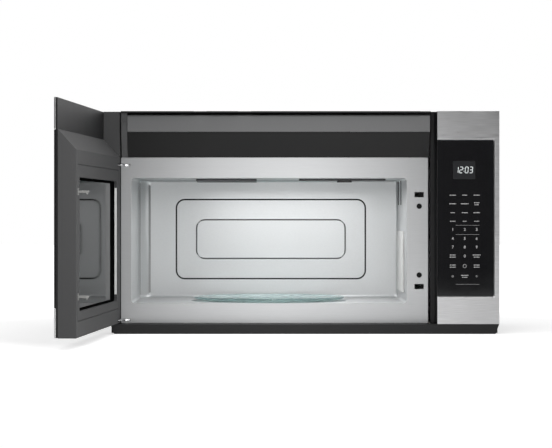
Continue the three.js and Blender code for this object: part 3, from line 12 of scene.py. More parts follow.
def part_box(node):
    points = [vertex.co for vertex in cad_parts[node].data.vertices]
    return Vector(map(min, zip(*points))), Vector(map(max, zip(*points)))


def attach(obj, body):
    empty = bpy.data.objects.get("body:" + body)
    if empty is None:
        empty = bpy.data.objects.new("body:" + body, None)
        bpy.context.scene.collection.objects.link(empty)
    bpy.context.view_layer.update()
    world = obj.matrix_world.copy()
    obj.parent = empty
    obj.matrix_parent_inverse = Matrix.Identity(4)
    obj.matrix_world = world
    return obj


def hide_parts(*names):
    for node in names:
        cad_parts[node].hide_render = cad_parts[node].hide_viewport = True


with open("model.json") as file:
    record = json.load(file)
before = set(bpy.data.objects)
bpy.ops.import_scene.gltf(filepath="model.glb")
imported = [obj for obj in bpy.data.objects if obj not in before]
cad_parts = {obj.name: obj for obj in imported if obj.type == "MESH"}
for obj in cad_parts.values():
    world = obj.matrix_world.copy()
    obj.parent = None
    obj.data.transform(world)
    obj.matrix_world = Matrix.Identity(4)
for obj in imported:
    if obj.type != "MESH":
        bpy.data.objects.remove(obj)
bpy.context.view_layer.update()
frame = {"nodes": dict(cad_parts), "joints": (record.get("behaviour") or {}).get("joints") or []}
scene = bpy.context.scene
mm = 0.001


# ---- Floor ----
# A plain pale floor that runs out of sight behind the oven.
# It keeps the oven's soft shadow, and it is white where no shadow falls.


def add_nodes(material):
    """The material's empty node tree and its output."""
    material.use_nodes = True
    tree = material.node_tree
    tree.nodes.clear()
    return tree, tree.nodes.new("ShaderNodeOutputMaterial")


def computed(tree, operation, first, second):
    """The result of a sum on two values of a node tree."""
    node = tree.nodes.new("ShaderNodeMath")
    node.operation = operation
    tree.links.new(first, node.inputs[0])
    tree.links.new(second, node.inputs[1])
    return node.outputs[0]


def rescaled(tree, value, low, high, from_low=0.0, from_high=1.0):
    """A value carried from one range to another, and held within it."""
    node = tree.nodes.new("ShaderNodeMapRange")
    node.inputs["From Min"].default_value = from_low
    node.inputs["From Max"].default_value = from_high
    node.inputs["To Min"].default_value = low
    node.inputs["To Max"].default_value = high
    tree.links.new(value, node.inputs["Value"])
    return node.outputs[0]


def seen_directly(tree):
    """1 for rays from the camera, from a mirror or through glass, and 0 for the light itself."""
    path = tree.nodes.new("ShaderNodeLightPath")
    gloss = computed(tree, "MAXIMUM", path.outputs["Is Camera Ray"], path.outputs["Is Glossy Ray"])
    return computed(tree, "MAXIMUM", gloss, path.outputs["Is Transmission Ray"])


floor_reach = 14.0
floor_level = -0.5 * mm  # just clear of the base pan's underside
floor_tone = 0.8
near_glow = 0.57  # what lifts the floor beside the oven towards white
far_glow = 1.0
near_reach = 0.72  # metres from the middle of the oven
far_reach = 1.1
glow_as_light = 0.3  # the share of the glow that also lights the oven

floor_mesh = bpy.data.meshes.new("floor")
floor_mesh.from_pydata(
    [(-floor_reach, -floor_reach, floor_level), (floor_reach, -floor_reach, floor_level),
     (floor_reach, floor_reach, floor_level), (-floor_reach, floor_reach, floor_level)],
    [], [(0, 1, 2, 3)],
)
floor = bpy.data.objects.new("floor", floor_mesh)
scene.collection.objects.link(floor)

floor_paint = bpy.data.materials.new("pale floor")
tree, out = add_nodes(floor_paint)
matt = tree.nodes.new("ShaderNodeBsdfDiffuse")
matt.inputs["Color"].default_value = (floor_tone, floor_tone, floor_tone, 1)
glow = tree.nodes.new("ShaderNodeEmission")
glow.inputs["Color"].default_value = (1, 1, 1, 1)
spot = tree.nodes.new("ShaderNodeTexCoord")
distance = tree.nodes.new("ShaderNodeVectorMath")
distance.operation = "LENGTH"
tree.links.new(spot.outputs["Object"], distance.inputs[0])
seen_glow = rescaled(tree, distance.outputs["Value"], near_glow, far_glow, near_reach, far_reach)
share = rescaled(tree, seen_directly(tree), glow_as_light, 1.0)
tree.links.new(computed(tree, "MULTIPLY", share, seen_glow), glow.inputs["Strength"])
both = tree.nodes.new("ShaderNodeAddShader")
tree.links.new(matt.outputs[0], both.inputs[0])
tree.links.new(glow.outputs[0], both.inputs[1])
tree.links.new(both.outputs[0], out.inputs["Surface"])
floor_mesh.materials.append(floor_paint)


# ---- Light ----
# A white room with a soft lamp in front, a broader one above it that no metal mirrors, one
# overhead, a weak one at each side and one under the cavity's ceiling.
# A dark curtain round the camera's side gives the bright metal something dark to mirror.

room_as_light = 0.3
room_seen = 1.0
world = bpy.data.worlds.new("white room")
scene.world = world
world.use_nodes = True
room_tree = world.node_tree
room_tree.nodes.clear()
room_out = room_tree.nodes.new("ShaderNodeOutputWorld")
walls = room_tree.nodes.new("ShaderNodeBackground")
walls.inputs["Color"].default_value = (1, 1, 1, 1)
walls_level = rescaled(room_tree, seen_directly(room_tree), room_as_light, room_seen)
room_tree.links.new(walls_level, walls.inputs["Strength"])
room_tree.links.new(walls.outputs[0], room_out.inputs["Surface"])


def soft_lamp(name, place, aim, width, height, watts, mirrored=True):
    """A flat lamp that the camera doesn't see, facing what it is aimed at."""
    data = bpy.data.lights.new(name, "AREA")
    data.shape = "RECTANGLE"
    data.size = width
    data.size_y = height
    data.energy = watts
    lamp = bpy.data.objects.new(name, data)
    lamp.location = place
    lamp.rotation_euler = (Vector(aim) - Vector(place)).to_track_quat("-Z", "Y").to_euler()
    lamp.visible_camera = False
    lamp.visible_glossy = mirrored
    scene.collection.objects.link(lamp)


soft_lamp("front lamp", place=(-0.03, -1.5, 0.3), aim=(-0.03, 0, 0.3),
          width=0.38, height=0.6, watts=2.7)
soft_lamp("fill lamp", place=(0.06, -1.2, 0.66), aim=(0, 0, 0.18),
          width=0.7, height=0.4, watts=3.7, mirrored=False)
soft_lamp("overhead lamp", place=(0, -0.6, 2.3), aim=(0, -0.2, 0.2),
          width=1.5, height=1.2, watts=18.0)
soft_lamp("left lamp", place=(-2.4, -0.8, 1.0), aim=(-0.3, 0, 0.2),
          width=1.0, height=1.2, watts=2.4)
soft_lamp("right lamp", place=(2.4, -0.8, 1.0), aim=(0.3, 0, 0.2),
          width=1.0, height=1.2, watts=2.6)
soft_lamp("lamp in the cavity", place=(-0.03, -0.075, 0.285), aim=(-0.03, -0.075, 0),
          width=0.34, height=0.16, watts=1.05)


def finished(form, name):
    """The form as a mesh of that name."""
    mesh = bpy.data.meshes.new(name)
    form.to_mesh(mesh)
    form.free()
    return mesh


curtain_reach = 6.4
curtain_height = 5.0
curtain_turn = 75  # degrees round from the front, to each side
curtain_hem = 4 * mm
curtain_tone = 0.05
folds = 24
train = 0.36  # the cloth also covers the floor, from this share of its reach
form = bmesh.new()
turns = [math.radians(curtain_turn * (2 * i / folds - 1)) for i in range(folds + 1)]
feet = [(curtain_reach * math.sin(turn), -curtain_reach * math.cos(turn)) for turn in turns]
rows = [
    [form.verts.new((x * share, y * share, z)) for x, y in feet]
    for share, z in ((train, curtain_hem), (1.0, curtain_hem), (1.0, curtain_height))
]
for low, high in zip(rows, rows[1:]):
    for i in range(folds):
        form.faces.new((low[i], low[i + 1], high[i + 1], high[i]))
curtain_mesh = finished(form, "curtain")
curtain = bpy.data.objects.new("curtain", curtain_mesh)
scene.collection.objects.link(curtain)
curtain.visible_camera = False
curtain_cloth = bpy.data.materials.new("dark curtain")
tree, out = add_nodes(curtain_cloth)
weave = tree.nodes.new("ShaderNodeBsdfDiffuse")
weave.inputs["Color"].default_value = (curtain_tone, curtain_tone, curtain_tone, 1)
tree.links.new(weave.outputs[0], out.inputs["Surface"])
curtain_mesh.materials.append(curtain_cloth)


# ---- Camera ----
# It stands 5 m in front of the oven, level, a little left of its middle.
# The shift only brings the oven to its place in the picture.

photo_width = 552
photo_height = 448
axis_px = (268, 215)  # where the line of sight meets the photograph
camera_data = bpy.data.cameras.new("camera")
camera_data.sensor_width = 36
camera_data.lens = 159.9
camera_data.shift_x = (photo_width / 2 - axis_px[0]) / photo_width
camera_data.shift_y = (axis_px[1] - photo_height / 2) / photo_width
camera_data.clip_end = 60
camera = bpy.data.objects.new("camera", camera_data)
camera.location = (-0.0718, -5.0015, 0.232)
camera.rotation_euler = (math.pi / 2, 0, 0)
scene.collection.objects.link(camera)
scene.camera = camera
scene.view_settings.view_transform = "Standard"


# ---- Wrap: two sides and the top ----
# One long sheet of black powder-coated steel, folded down at both sides, with a lip over the
# air outlet. Its rear edges are screwed to the rear sheet.


def surface(name, tone, roughness, metallic=0.0, shine=0.5, grain=900, stretch=(1, 1, 1),
            swing=0.12, rough_swing=0.06, bump=0.08, cloud=6.0, depth=0.2 * mm,
            fine_share=0.6):
    """A finish with fine grain, slow changes of tone and a roughness that follows them."""
    noise_low, noise_high = 0.3, 0.7  # between these lies nearly all of the noise
    material = bpy.data.materials.new(name)
    tree, out = add_nodes(material)
    shader = tree.nodes.new("ShaderNodeBsdfPrincipled")
    shader.inputs["Metallic"].default_value = metallic
    shader.inputs["Specular IOR Level"].default_value = shine
    tree.links.new(shader.outputs[0], out.inputs["Surface"])
    place = tree.nodes.new("ShaderNodeTexCoord")
    spread = tree.nodes.new("ShaderNodeMapping")
    spread.inputs["Scale"].default_value = stretch
    tree.links.new(place.outputs["Object"], spread.inputs["Vector"])
    fine = tree.nodes.new("ShaderNodeTexNoise")
    fine.inputs["Scale"].default_value = grain
    fine.inputs["Detail"].default_value = 3
    tree.links.new(spread.outputs[0], fine.inputs["Vector"])
    slow = tree.nodes.new("ShaderNodeTexNoise")
    slow.inputs["Scale"].default_value = cloud
    slow.inputs["Detail"].default_value = 2
    tree.links.new(place.outputs["Object"], slow.inputs["Vector"])
    blend = tree.nodes.new("ShaderNodeMix")
    blend.inputs[0].default_value = 1 - fine_share
    tree.links.new(fine.outputs["Fac"], blend.inputs[2])
    tree.links.new(slow.outputs["Fac"], blend.inputs[3])
    ramp = tree.nodes.new("ShaderNodeValToRGB")
    dark_end, pale_end = ramp.color_ramp.elements
    dark_end.position = noise_low
    pale_end.position = noise_high
    dark_end.color = (*[c * (1 - swing) for c in tone], 1)
    pale_end.color = (*[min(1, c * (1 + swing)) for c in tone], 1)
    tree.links.new(blend.outputs[0], ramp.inputs["Fac"])
    tree.links.new(ramp.outputs["Color"], shader.inputs["Base Color"])
    smoothest = max(0.02, roughness - rough_swing)
    roughest = min(1.0, roughness + rough_swing)
    rough = rescaled(tree, blend.outputs[0], smoothest, roughest, noise_low, noise_high)
    tree.links.new(rough, shader.inputs["Roughness"])
    relief = tree.nodes.new("ShaderNodeBump")
    relief.inputs["Strength"].default_value = bump
    relief.inputs["Distance"].default_value = depth
    tree.links.new(fine.outputs["Fac"], relief.inputs["Height"])
    tree.links.new(relief.outputs[0], shader.inputs["Normal"])
    return material


def link_piece(name, mesh, material, body, stands_for=()):
    """A finished mesh as a piece of the oven, which rides on its body."""
    mesh.materials.clear()
    mesh.materials.append(material)
    piece = bpy.data.objects.new(name, mesh)
    scene.collection.objects.link(piece)
    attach(piece, body)
    if stands_for:
        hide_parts(*stands_for)
    return piece


def applied(mesh, kind, **settings):
    """The mesh with one modifier applied."""
    carrier = bpy.data.objects.new("carrier", mesh)
    scene.collection.objects.link(carrier)
    modifier = carrier.modifiers.new(kind, kind)
    for key, value in settings.items():
        setattr(modifier, key, value)
    graph = bpy.context.evaluated_depsgraph_get()
    result = bpy.data.meshes.new_from_object(carrier.evaluated_get(graph))
    bpy.data.objects.remove(carrier)
    return result


def smoothed(mesh, degrees=32):
    """Smooth shading that keeps flat faces flat and sharp edges sharp."""
    mesh.shade_smooth()
    mesh.set_sharp_from_angle(angle=math.radians(degrees))
    return applied(mesh, "WEIGHTED_NORMAL", keep_sharp=True, weight=100)


def eased(node, edge, steps=2):
    """The node's form as a new mesh, with its flat faces whole and its edges rounded."""
    same_place = 2e-6
    same_plane = math.radians(0.4)
    least_angle = math.radians(38)
    form = bmesh.new()
    form.from_mesh(frame["nodes"][node].data)
    bmesh.ops.remove_doubles(form, verts=form.verts, dist=same_place)
    bmesh.ops.dissolve_limit(
        form, angle_limit=same_plane, verts=form.verts, edges=form.edges,
        use_dissolve_boundaries=False, delimit=set(),
    )
    sharp = [
        side for side in form.edges
        if len(side.link_faces) == 2 and side.calc_face_angle(0) > least_angle
    ]
    bmesh.ops.bevel(
        form, geom=sharp, offset=edge, offset_type="OFFSET", segments=steps, profile=0.5,
        affect="EDGES", clamp_overlap=False, miter_outer="SHARP",
    )
    bmesh.ops.dissolve_degenerate(form, dist=same_place / 2, edges=form.edges)
    return smoothed(finished(form, node + "_form"))


def dress(node, material, body, edge, steps=2):
    """A rounded-edge piece with the node's form stands for the node."""
    return link_piece(node + "_shell", eased(node, edge, steps), material, body, [node])


black_coat = surface("black powder coat", (0.009, 0.009, 0.0095), 0.48, shine=0.3,
                     grain=1500, bump=0.3, depth=0.1 * mm)
dress("outer_wrap", black_coat, "cabinet", 0.4 * mm)


# ---- Base pan ----
# The bottom tray, also of black coated steel. Its front strip runs under door and panel, and
# its holes let air up through the two filters and light down from the two lamps.

dress("base_pan", black_coat, "cabinet", 0.3 * mm)


# ---- Rear sheet ----
# Bare zinc-plated steel, screwed in between the wrap's sides. It has the two slots that hang on
# the wall plate and the scored outline of a duct opening.

zinc = surface("zinc plate", (0.42, 0.44, 0.45), 0.38, metallic=0.9, grain=90, swing=0.2,
               rough_swing=0.12, bump=0.05, cloud=14)
dress("back_panel", zinc, "cabinet", 0.2 * mm)


# ---- Front plate ----
# The silver plate round the cavity is a shallow pressed tray of satin coated steel. It is
# welded to the cavity's mouth and has the slots for the latch's hooks.

satin_silver = surface("satin silver", (0.43, 0.435, 0.44), 0.36, metallic=0.85, grain=260,
                       stretch=(0.15, 1, 6), swing=0.05, rough_swing=0.03, bump=0.02)
dress("front_frame", satin_silver, "cabinet", 0.35 * mm)


# ---- Bumpers and grommet ----
# Moulded black rubber: two round bumpers pushed into the front plate beside the slots, and the
# ring round the supply lead's hole in the top.


def keep(material, slot, *nodes):
    """The nodes stay as they are and take this finish."""
    for node in nodes:
        shown = frame["nodes"][node]
        shown.data.materials.clear()
        shown.data.materials.append(material)


soft_rubber = surface("black rubber", (0.004, 0.004, 0.004), 0.7, shine=0.2, grain=700,
                      bump=0.2)
for n in (1, 2):
    dress(f"door_bumper_{n}", soft_rubber, "cabinet", 0.4 * mm, 3)
keep(soft_rubber, "rubber", "cord_grommet")


# ---- Cooking cavity ----
# Drawn from coated steel sheet: rounded corners, a flat across the rear left one, two pressed
# outlines in the back wall, air louvres in the right one and a round dish under the turntable.

liner_sheet = 1 * mm
dish_depth = 14 * mm
pad_sink = 3 * mm
louvre_reach = 4.5 * mm  # how far an air louvre is pressed out of the right wall
liner_low, liner_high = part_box("cavity_liner")
room_left = liner_low.x + liner_sheet
room_right = liner_high.x - liner_sheet - louvre_reach
room_floor = liner_low.z + liner_sheet + dish_depth
room_ceiling = liner_high.z - liner_sheet
room_front = liner_low.y
room_back = liner_high.y - liner_sheet - pad_sink
room_middle = (room_floor + room_ceiling) / 2
wall_round = 6 * mm
flat_width = 22 * mm
flat_depth = 14 * mm
corner_steps = 6


def rounded_ring(x0, x1, z0, z1, radius, y):
    """Points round a rectangle with round corners, facing the front."""
    points = []
    for quarter, (cx, cz) in enumerate([
        (x1 - radius, z0 + radius), (x1 - radius, z1 - radius),
        (x0 + radius, z1 - radius), (x0 + radius, z0 + radius),
    ]):
        for step in range(corner_steps + 1):
            turn = (quarter - 1 + step / corner_steps) * math.pi / 2
            points.append(Vector((cx + radius * math.cos(turn), y, cz + radius * math.sin(turn))))
    return points


def lofted(name, rings):
    """A closed mesh through rings that have as many points each."""
    form = bmesh.new()
    loops = [[form.verts.new(point) for point in ring] for ring in rings]
    for near, far in zip(loops, loops[1:]):
        for i in range(len(near)):
            j = (i + 1) % len(near)
            form.faces.new((near[i], near[j], far[j], far[i]))
    form.faces.new(loops[0])
    form.faces.new(loops[-1])
    bmesh.ops.recalc_face_normals(form, faces=form.faces)
    return finished(form, name)


def combined(mesh, tool, operation):
    """One closed mesh joined with, or cut by, another."""
    other = bpy.data.objects.new("tool", tool)
    scene.collection.objects.link(other)
    result = applied(mesh, "BOOLEAN", object=other, operation=operation, solver="EXACT")
    bpy.data.objects.remove(other)
    return result


def slab(name, low, high):
    """A plain block, to cut or to join with."""
    (x0, y0, z0), (x1, y1, z1) = low, high
    return lofted(name, [
        [(x0, y0, z0), (x1, y0, z0), (x1, y1, z0), (x0, y1, z0)],
        [(x0, y0, z1), (x1, y0, z1), (x1, y1, z1), (x0, y1, z1)],
    ])


def wall_ring(y):
    """The cavity's outline at one depth, drawn in round the back and at the rear left corner."""
    turn = max(0.0, (y - (room_back - wall_round)) / wall_round)
    inset = wall_round * (1 - math.sqrt(max(0.0, 1 - turn * turn)))
    lean = max(0.0, (y - (room_back - flat_depth)) / flat_depth) * (flat_width - wall_round)
    return rounded_ring(
        room_left + lean + inset, room_right - inset,
        room_floor + inset, room_ceiling - inset, wall_round, y,
    )


# The pressed outlines: a sunk band between an outer and an inner rounded rectangle.
pad_width = 401 * mm
pad_height = 169.7 * mm
pad_band = 42.5 * mm
pad_round = 19 * mm
pad_slope = 3.2 * mm
pad_steps = 6
pad_x = (room_left + room_right) / 2 + 4 * mm
pad_z = room_middle - 0.4 * mm


def pressed_step(inset, rise, radius):
    """Rings down or up the soft edge of a pressing."""
    rings = []
    for i in range(pad_steps + 1):
        share = i / pad_steps
        soft = share * share * (3 - 2 * share)
        depth = pad_sink * (soft if rise else 1 - soft)
        reach_x = pad_width / 2 - (inset + pad_slope * share)
        reach_z = pad_height / 2 - (inset + pad_slope * share)
        rings.append(rounded_ring(
            pad_x - reach_x, pad_x + reach_x, pad_z - reach_z, pad_z + reach_z,
            radius - pad_slope * share, room_back + depth,
        ))
    return rings


flat_edge = 1.1 * mm  # half the width of the pressed line where the corner's flat begins
back_steps = 8
depths = [room_front] + [room_back - flat_depth + shift * flat_edge for shift in (-1, 0, 1)]
depths += [
    room_back - wall_round * (1 - math.sin(i / back_steps * math.pi / 2))
    for i in range(back_steps + 1)
]
rings = [wall_ring(y) for y in depths]
rings += pressed_step(0, True, pad_round)
rings += pressed_step(pad_band, False, pad_round)
room = lofted("room", rings)


def turned(name, profile, sides, place):
    """A mesh turned about its own Z axis from pairs of radius and height, and then put in its
    place. The profile starts and ends on the axis, or closes on itself."""
    on_axis = 1e-7
    form = bmesh.new()
    rings = []
    for radius, height in profile:
        count = 1 if radius < on_axis else sides
        rings.append([
            form.verts.new((
                radius * math.cos(i * math.tau / sides),
                radius * math.sin(i * math.tau / sides), height,
            ))
            for i in range(count)
        ])
    for low, high in zip(rings, rings[1:]):
        for i in range(sides):
            j = (i + 1) % sides
            corners = [
                low[i % len(low)], low[j % len(low)], high[j % len(high)], high[i % len(high)],
            ]
            if len(low) == 1:
                corners.pop(1)
            elif len(high) == 1:
                corners.pop(3)
            form.faces.new(corners)
    bmesh.ops.remove_doubles(form, verts=form.verts, dist=on_axis)
    bmesh.ops.recalc_face_normals(form, faces=form.faces)
    form.transform(place)
    return finished(form, name)


spin_x, spin_y, _ = next(j for j in frame["joints"] if j["name"] == "turntable_spin")["pos_m"]
spindle_foot = Matrix.Translation((spin_x, spin_y, room_floor))
overlap = 1 * mm  # how far a tool reaches into what it joins
dish_radius = 158 * mm
dish_slope = 6 * mm
dish_foot = dish_radius - dish_slope
dish_lip = dish_radius + 1.5 * mm
dish = turned("dish", [
    (0, -dish_depth), (dish_foot - 2 * mm, -dish_depth), (dish_foot, -dish_depth * 0.94),
    (dish_radius - dish_slope * 0.4, -dish_depth * 0.4), (dish_radius, -0.5 * mm),
    (dish_lip, 0.02 * mm), (dish_lip, overlap), (0, overlap),
], 96, spindle_foot)
inside = combined(room, dish, "UNION")

# Each louvre swells out of the wall and is widest at its rear end, where the air comes in.
louvre_high = room_ceiling - 2 * mm
louvre_low = louvre_high - 50 * mm
louvre_long = 34 * mm
louvre_ends = (spin_y + 62 * mm, spin_y + 160 * mm)
for end in louvre_ends:
    swell = [
        (room_right - overlap, end - louvre_long), (room_right, end - louvre_long),
        (room_right + louvre_reach * 0.7, end - louvre_long * 0.8),
        (room_right + louvre_reach, end - louvre_long * 0.62), (room_right + louvre_reach, end),
        (room_right - overlap, end),
    ]
    louvre = lofted("louvre", [[(x, y, z) for x, y in swell] for z in (louvre_low, louvre_high)])
    inside = combined(inside, louvre, "UNION")

# The open front, the sheet's thickness, the spindle's hole and the waveguide's mouth.
form = bmesh.new()
form.from_mesh(inside)
front_limit = room_front + 0.01 * mm
open_front = [f for f in form.faces if all(v.co.y < front_limit for v in f.verts)]
bmesh.ops.delete(form, geom=open_front, context="FACES_ONLY")
form.to_mesh(inside)
form.free()
liner = applied(inside, "SOLIDIFY", thickness=liner_sheet, offset=1, use_even_offset=True)
hole_radius = 7 * mm
hole_depth = 2 * dish_depth
spindle_hole = turned("spindle hole", [
    (0, -hole_depth), (hole_radius, -hole_depth), (hole_radius, 0), (0, 0),
], 32, spindle_foot)
liner = combined(liner, spindle_hole, "DIFFERENCE")
mouth_front, mouth_back = 20 * mm, 100 * mm
mouth_low, mouth_high = 100 * mm, 180 * mm
wall_reach = 3 * mm
guide_mouth = slab(
    "mouth", (room_right - wall_reach, mouth_front, mouth_low),
    (room_right + wall_reach, mouth_back, mouth_high),
)
liner = smoothed(combined(liner, guide_mouth, "DIFFERENCE"))
cavity_coat = surface("cavity coat", (0.53, 0.54, 0.545), 0.36, metallic=0.5, grain=600,
                      stretch=(0.4, 1, 1), swing=0.04, rough_swing=0.03, bump=0.03)
link_piece("cavity_shell", liner, cavity_coat, "cabinet", ["cavity_liner"])

# The outlines' drawn edges are painted dark as painted shade, most of all along the outer one,
# and fainter where the corner's flat begins and ends. The louvres' rear ends are painted dark
# as painted shade in their openings.
dark_painted_shade, faint_painted_shade, corner_painted_shade = 1, 2, 3
# Three coats of painted shade: the deepest for the outer outline and the louvres' ends, fainter
# ones for the inner outline and the corner's flat.
for name, tone in (("dark painted shade", 0.012), ("faint painted shade", 0.17), ("corner painted shade", 0.3)):
    painted_shade_coat = surface(name, (tone, tone, tone), 0.6, grain=400, swing=0.1, bump=0.05)
    liner.materials.append(painted_shade_coat)
# Faces that lie in the painted shade take the dark coats.
for face in liner.polygons:
    x, y, z = face.center
    inset = min(pad_width / 2 - abs(x - pad_x), pad_height / 2 - abs(z - pad_z))
    in_outlines = -1 * mm < inset < pad_band + pad_slope + 1 * mm
    behind_wall = x > room_right + 0.2 * mm and z > louvre_low
    left_and_tall = abs(z - room_middle) < 30 * mm and x < room_left + flat_width + 1 * mm
    flat_begins = x < room_left + 3 * mm and abs(y - room_back + flat_depth) < flat_edge
    flat_ends = x > room_left + 14 * mm and room_back - 1 * mm < y < room_back - 0.01 * mm
    if room_back + 0.02 * mm < y < room_back + pad_sink - 0.02 * mm:
        if in_outlines:
            face.material_index = dark_painted_shade if inset < pad_band / 2 else faint_painted_shade
    elif behind_wall and any(abs(y - end) < 0.1 * mm for end in louvre_ends):
        face.material_index = dark_painted_shade
    elif left_and_tall and (flat_begins or flat_ends):
        face.material_index = corner_painted_shade


# ---- Covers inside the cavity ----
# Sheets of pressed mica, clipped into the steel: a pale one over the waveguide's mouth in the
# right wall, and two dark flat ones under the ceiling.

mica_sheet = surface("mica", (0.6, 0.6, 0.59), 0.55, grain=120, stretch=(1, 1, 0.3),
                     swing=0.2, bump=0.2)
dress("waveguide_cover", mica_sheet, "cabinet", 0.5 * mm)
dark_mica = surface("dark mica", (0.03, 0.03, 0.03), 0.5, grain=120, stretch=(1, 1, 0.3),
                    swing=0.2, bump=0.2)
for side in ("left", "right"):
    dress(f"ceiling_cover_{side}", dark_mica, "cabinet", 0.5 * mm)


# ---- Air outlet ----
# A grey moulded head with slots along its top, a dark apron that slopes back to the front
# plate, and a grey post with a screw at the left end.

grey_moulding = surface("grey moulding", (0.145, 0.146, 0.148), 0.44, grain=1100,
                        swing=0.08, bump=0.15, depth=0.1 * mm)
dress("grille_head", grey_moulding, "cabinet", 0.3 * mm)
dark_moulding = surface("dark moulding", (0.004, 0.004, 0.0042), 0.52, shine=0.3,
                        grain=1100, swing=0.1, bump=0.15, depth=0.1 * mm)
dress("grille_apron", dark_moulding, "cabinet", 0.3 * mm)
post_grey = surface("post moulding", (0.068, 0.0685, 0.07), 0.46, grain=1100, swing=0.08,
                    bump=0.15, depth=0.1 * mm)
dress("grille_end_post", post_grey, "cabinet", 0.4 * mm)


# ---- Charcoal filter ----
# A block of charcoal grains behind the air outlet, which takes smells out of the air that goes
# back into the kitchen.

charcoal = surface("charcoal", (0.012, 0.012, 0.012), 0.95, grain=420, swing=0.6, bump=0.9,
                   depth=1 * mm)
keep(charcoal, "carbon", "charcoal_filter")


# ---- Control panel ----
# A black moulded carrier with the finger pocket beside the door, a brushed stainless face, and
# black glass with the display's window in it.

black_moulding = surface("black moulding", (0.006, 0.006, 0.0065), 0.42, shine=0.22,
                         grain=1300, swing=0.1, bump=0.12, depth=0.1 * mm)
dress("control_housing", black_moulding, "cabinet", 0.3 * mm)
brushed = surface("brushed stainless", (0.53, 0.53, 0.535), 0.34, metallic=0.9, grain=700,
                  stretch=(0.04, 1, 2.4), swing=0.16, rough_swing=0.07, bump=0.12, cloud=5,
                  depth=0.1 * mm, fine_share=0.8)
dress("control_trim", brushed, "cabinet", 0.5 * mm)
glass_black = surface("black glass", (0.011, 0.011, 0.012), 0.07, grain=30, swing=0.1,
                      rough_swing=0.02, bump=0.0)
dress("control_glass", glass_black, "cabinet", 0.4 * mm)
lens_black = surface("display lens", (0.028, 0.029, 0.031), 0.12, grain=40, swing=0.1,
                     rough_swing=0.02, bump=0.0)
dress("display_lens", lens_black, "cabinet", 0.3 * mm)


# ---- Clock ----
# Four pale digits of seven bars and two dots, lit from behind the display's window.
# They lie on its face as a thin film.


def bars(name, marks, y, thickness):
    """Flat marks with cut corners on an upright face: middle x, middle z, width, height, slant."""
    form = bmesh.new()
    for x, z, width, height, slant in marks:
        ease = min(width, height) * 0.3
        side, top = width / 2, height / 2
        outline = [
            (-side + ease, -top), (side - ease, -top), (side, -top + ease), (side, top - ease),
            (side - ease, top), (-side + ease, top), (-side, top - ease), (-side, -top + ease),
        ]
        near = [form.verts.new((x + u + v * slant, y - thickness, z + v)) for u, v in outline]
        far = [form.verts.new((x + u + v * slant, y, z + v)) for u, v in outline]
        form.faces.new(near)
        form.faces.new(far[::-1])
        for i in range(len(outline)):
            j = (i + 1) % len(outline)
            form.faces.new((near[i], far[i], far[j], near[j]))
    bmesh.ops.recalc_face_normals(form, faces=form.faces)
    return finished(form, name)


lens_low, lens_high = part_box("display_lens")
film = 0.05 * mm
digit_width = 5.6 * mm
digit_height = 11.5 * mm
bar_wide = 1.15 * mm
lean = 0.08
lit_bars = {"0": "abcdef", "1": "bc", "2": "abged", "3": "abgcd"}


def digit(sign, x, z):
    """The lit bars of one digit about its middle."""
    side, half = digit_width / 2, digit_height / 2
    places = {
        "a": (0, half, True), "g": (0, 0, True), "d": (0, -half, True),
        "b": (side, half / 2, False), "c": (side, -half / 2, False),
        "f": (-side, half / 2, False), "e": (-side, -half / 2, False),
    }
    marks = []
    for name in lit_bars[sign]:
        across, up, flat = places[name]
        size = (digit_width - bar_wide, bar_wide) if flat else (bar_wide, half - bar_wide * 0.5)
        marks.append((x + across + up * lean, z + up, *size, lean))
    return marks


clock_x = (lens_low.x + lens_high.x) / 2
clock_z = (lens_low.z + lens_high.z) / 2 + 0.5 * mm
clock_pitch = 8.6 * mm
dot_wide = 1.2 * mm
dot_rise = 2.6 * mm
clock = []
for place, sign in zip((-1.62, -0.62, 0.62, 1.62), "1203"):
    clock += digit(sign, clock_x + place * clock_pitch, clock_z)
clock += [(clock_x, clock_z + up, dot_wide, dot_wide, 0) for up in (-dot_rise, dot_rise)]
lit = surface("lit digits", (0.75, 0.78, 0.78), 0.5, grain=60, swing=0.05, bump=0.0)
digit_shader = lit.node_tree.nodes["Principled BSDF"]
digit_shader.inputs["Emission Color"].default_value = (0.85, 0.93, 0.95, 1)
digit_shader.inputs["Emission Strength"].default_value = 0.3
link_piece("clock_digits", bars("clock_digits", clock, lens_low.y, film), lit, "cabinet")


# ---- Key marks ----
# Pale grey print on the black glass: plain bars where the keys have words, the digits of the
# number pad, three marks and three fine rules.

panel_low, panel_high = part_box("control_glass")
face_y = panel_low.y
left_keys, middle_keys, right_keys = key_columns = [288.6 * mm, 312 * mm, 335.3 * mm]

# Heights above the base and widths, both in millimetres.
word_rows = {270.7: (13, 10, 13), 253.9: (14, 16, 11), 236.5: (9, 12, 13), 219.8: (11, 8, 10)}
two_line_key = (253.9, right_keys)
half_line = 1.9
side_rows = ((154.0, 12), (149.8, 12), (134.4, 12), (130.2, 12))
wide_word = 16  # the right column's highest side word
low_rows = ((114.2, 15), (110.4, 11))
digit_rows = (("123", 203.6), ("456", 185.8), ("789", 169.2))
zero_level = 151.8
ring_level = 132.3
diamond_level = 112.4
rule_levels = (211.9, 194.0, 96.8)


def word(x, z, width):
    """A word's place: a row of short bars."""
    word_height = 1.5 * mm
    half_gap = 0.45 * mm
    marks = []
    start = x - width * mm / 2
    for share in (0.3, 0.22, 0.34, 0.14):
        long = share * width * mm
        marks.append((start + long / 2, z, long - half_gap, word_height, 0))
        start += long
    return marks


marks = []
for z, widths in word_rows.items():
    for x, width in zip(key_columns, widths):
        if (z, x) == two_line_key:
            marks += word(x, (z + half_line) * mm, width)
            marks += word(x, (z - half_line) * mm, width * 0.8)
        else:
            marks += word(x, z * mm, width)
for x in (left_keys, right_keys):
    for z, width in side_rows:
        widest = x == right_keys and z == side_rows[0][0]
        marks += word(x, z * mm, wide_word if widest else width)
for z, width in low_rows:
    marks += word(middle_keys, z * mm, width)
legends = [bars("words", marks, face_y, film)]


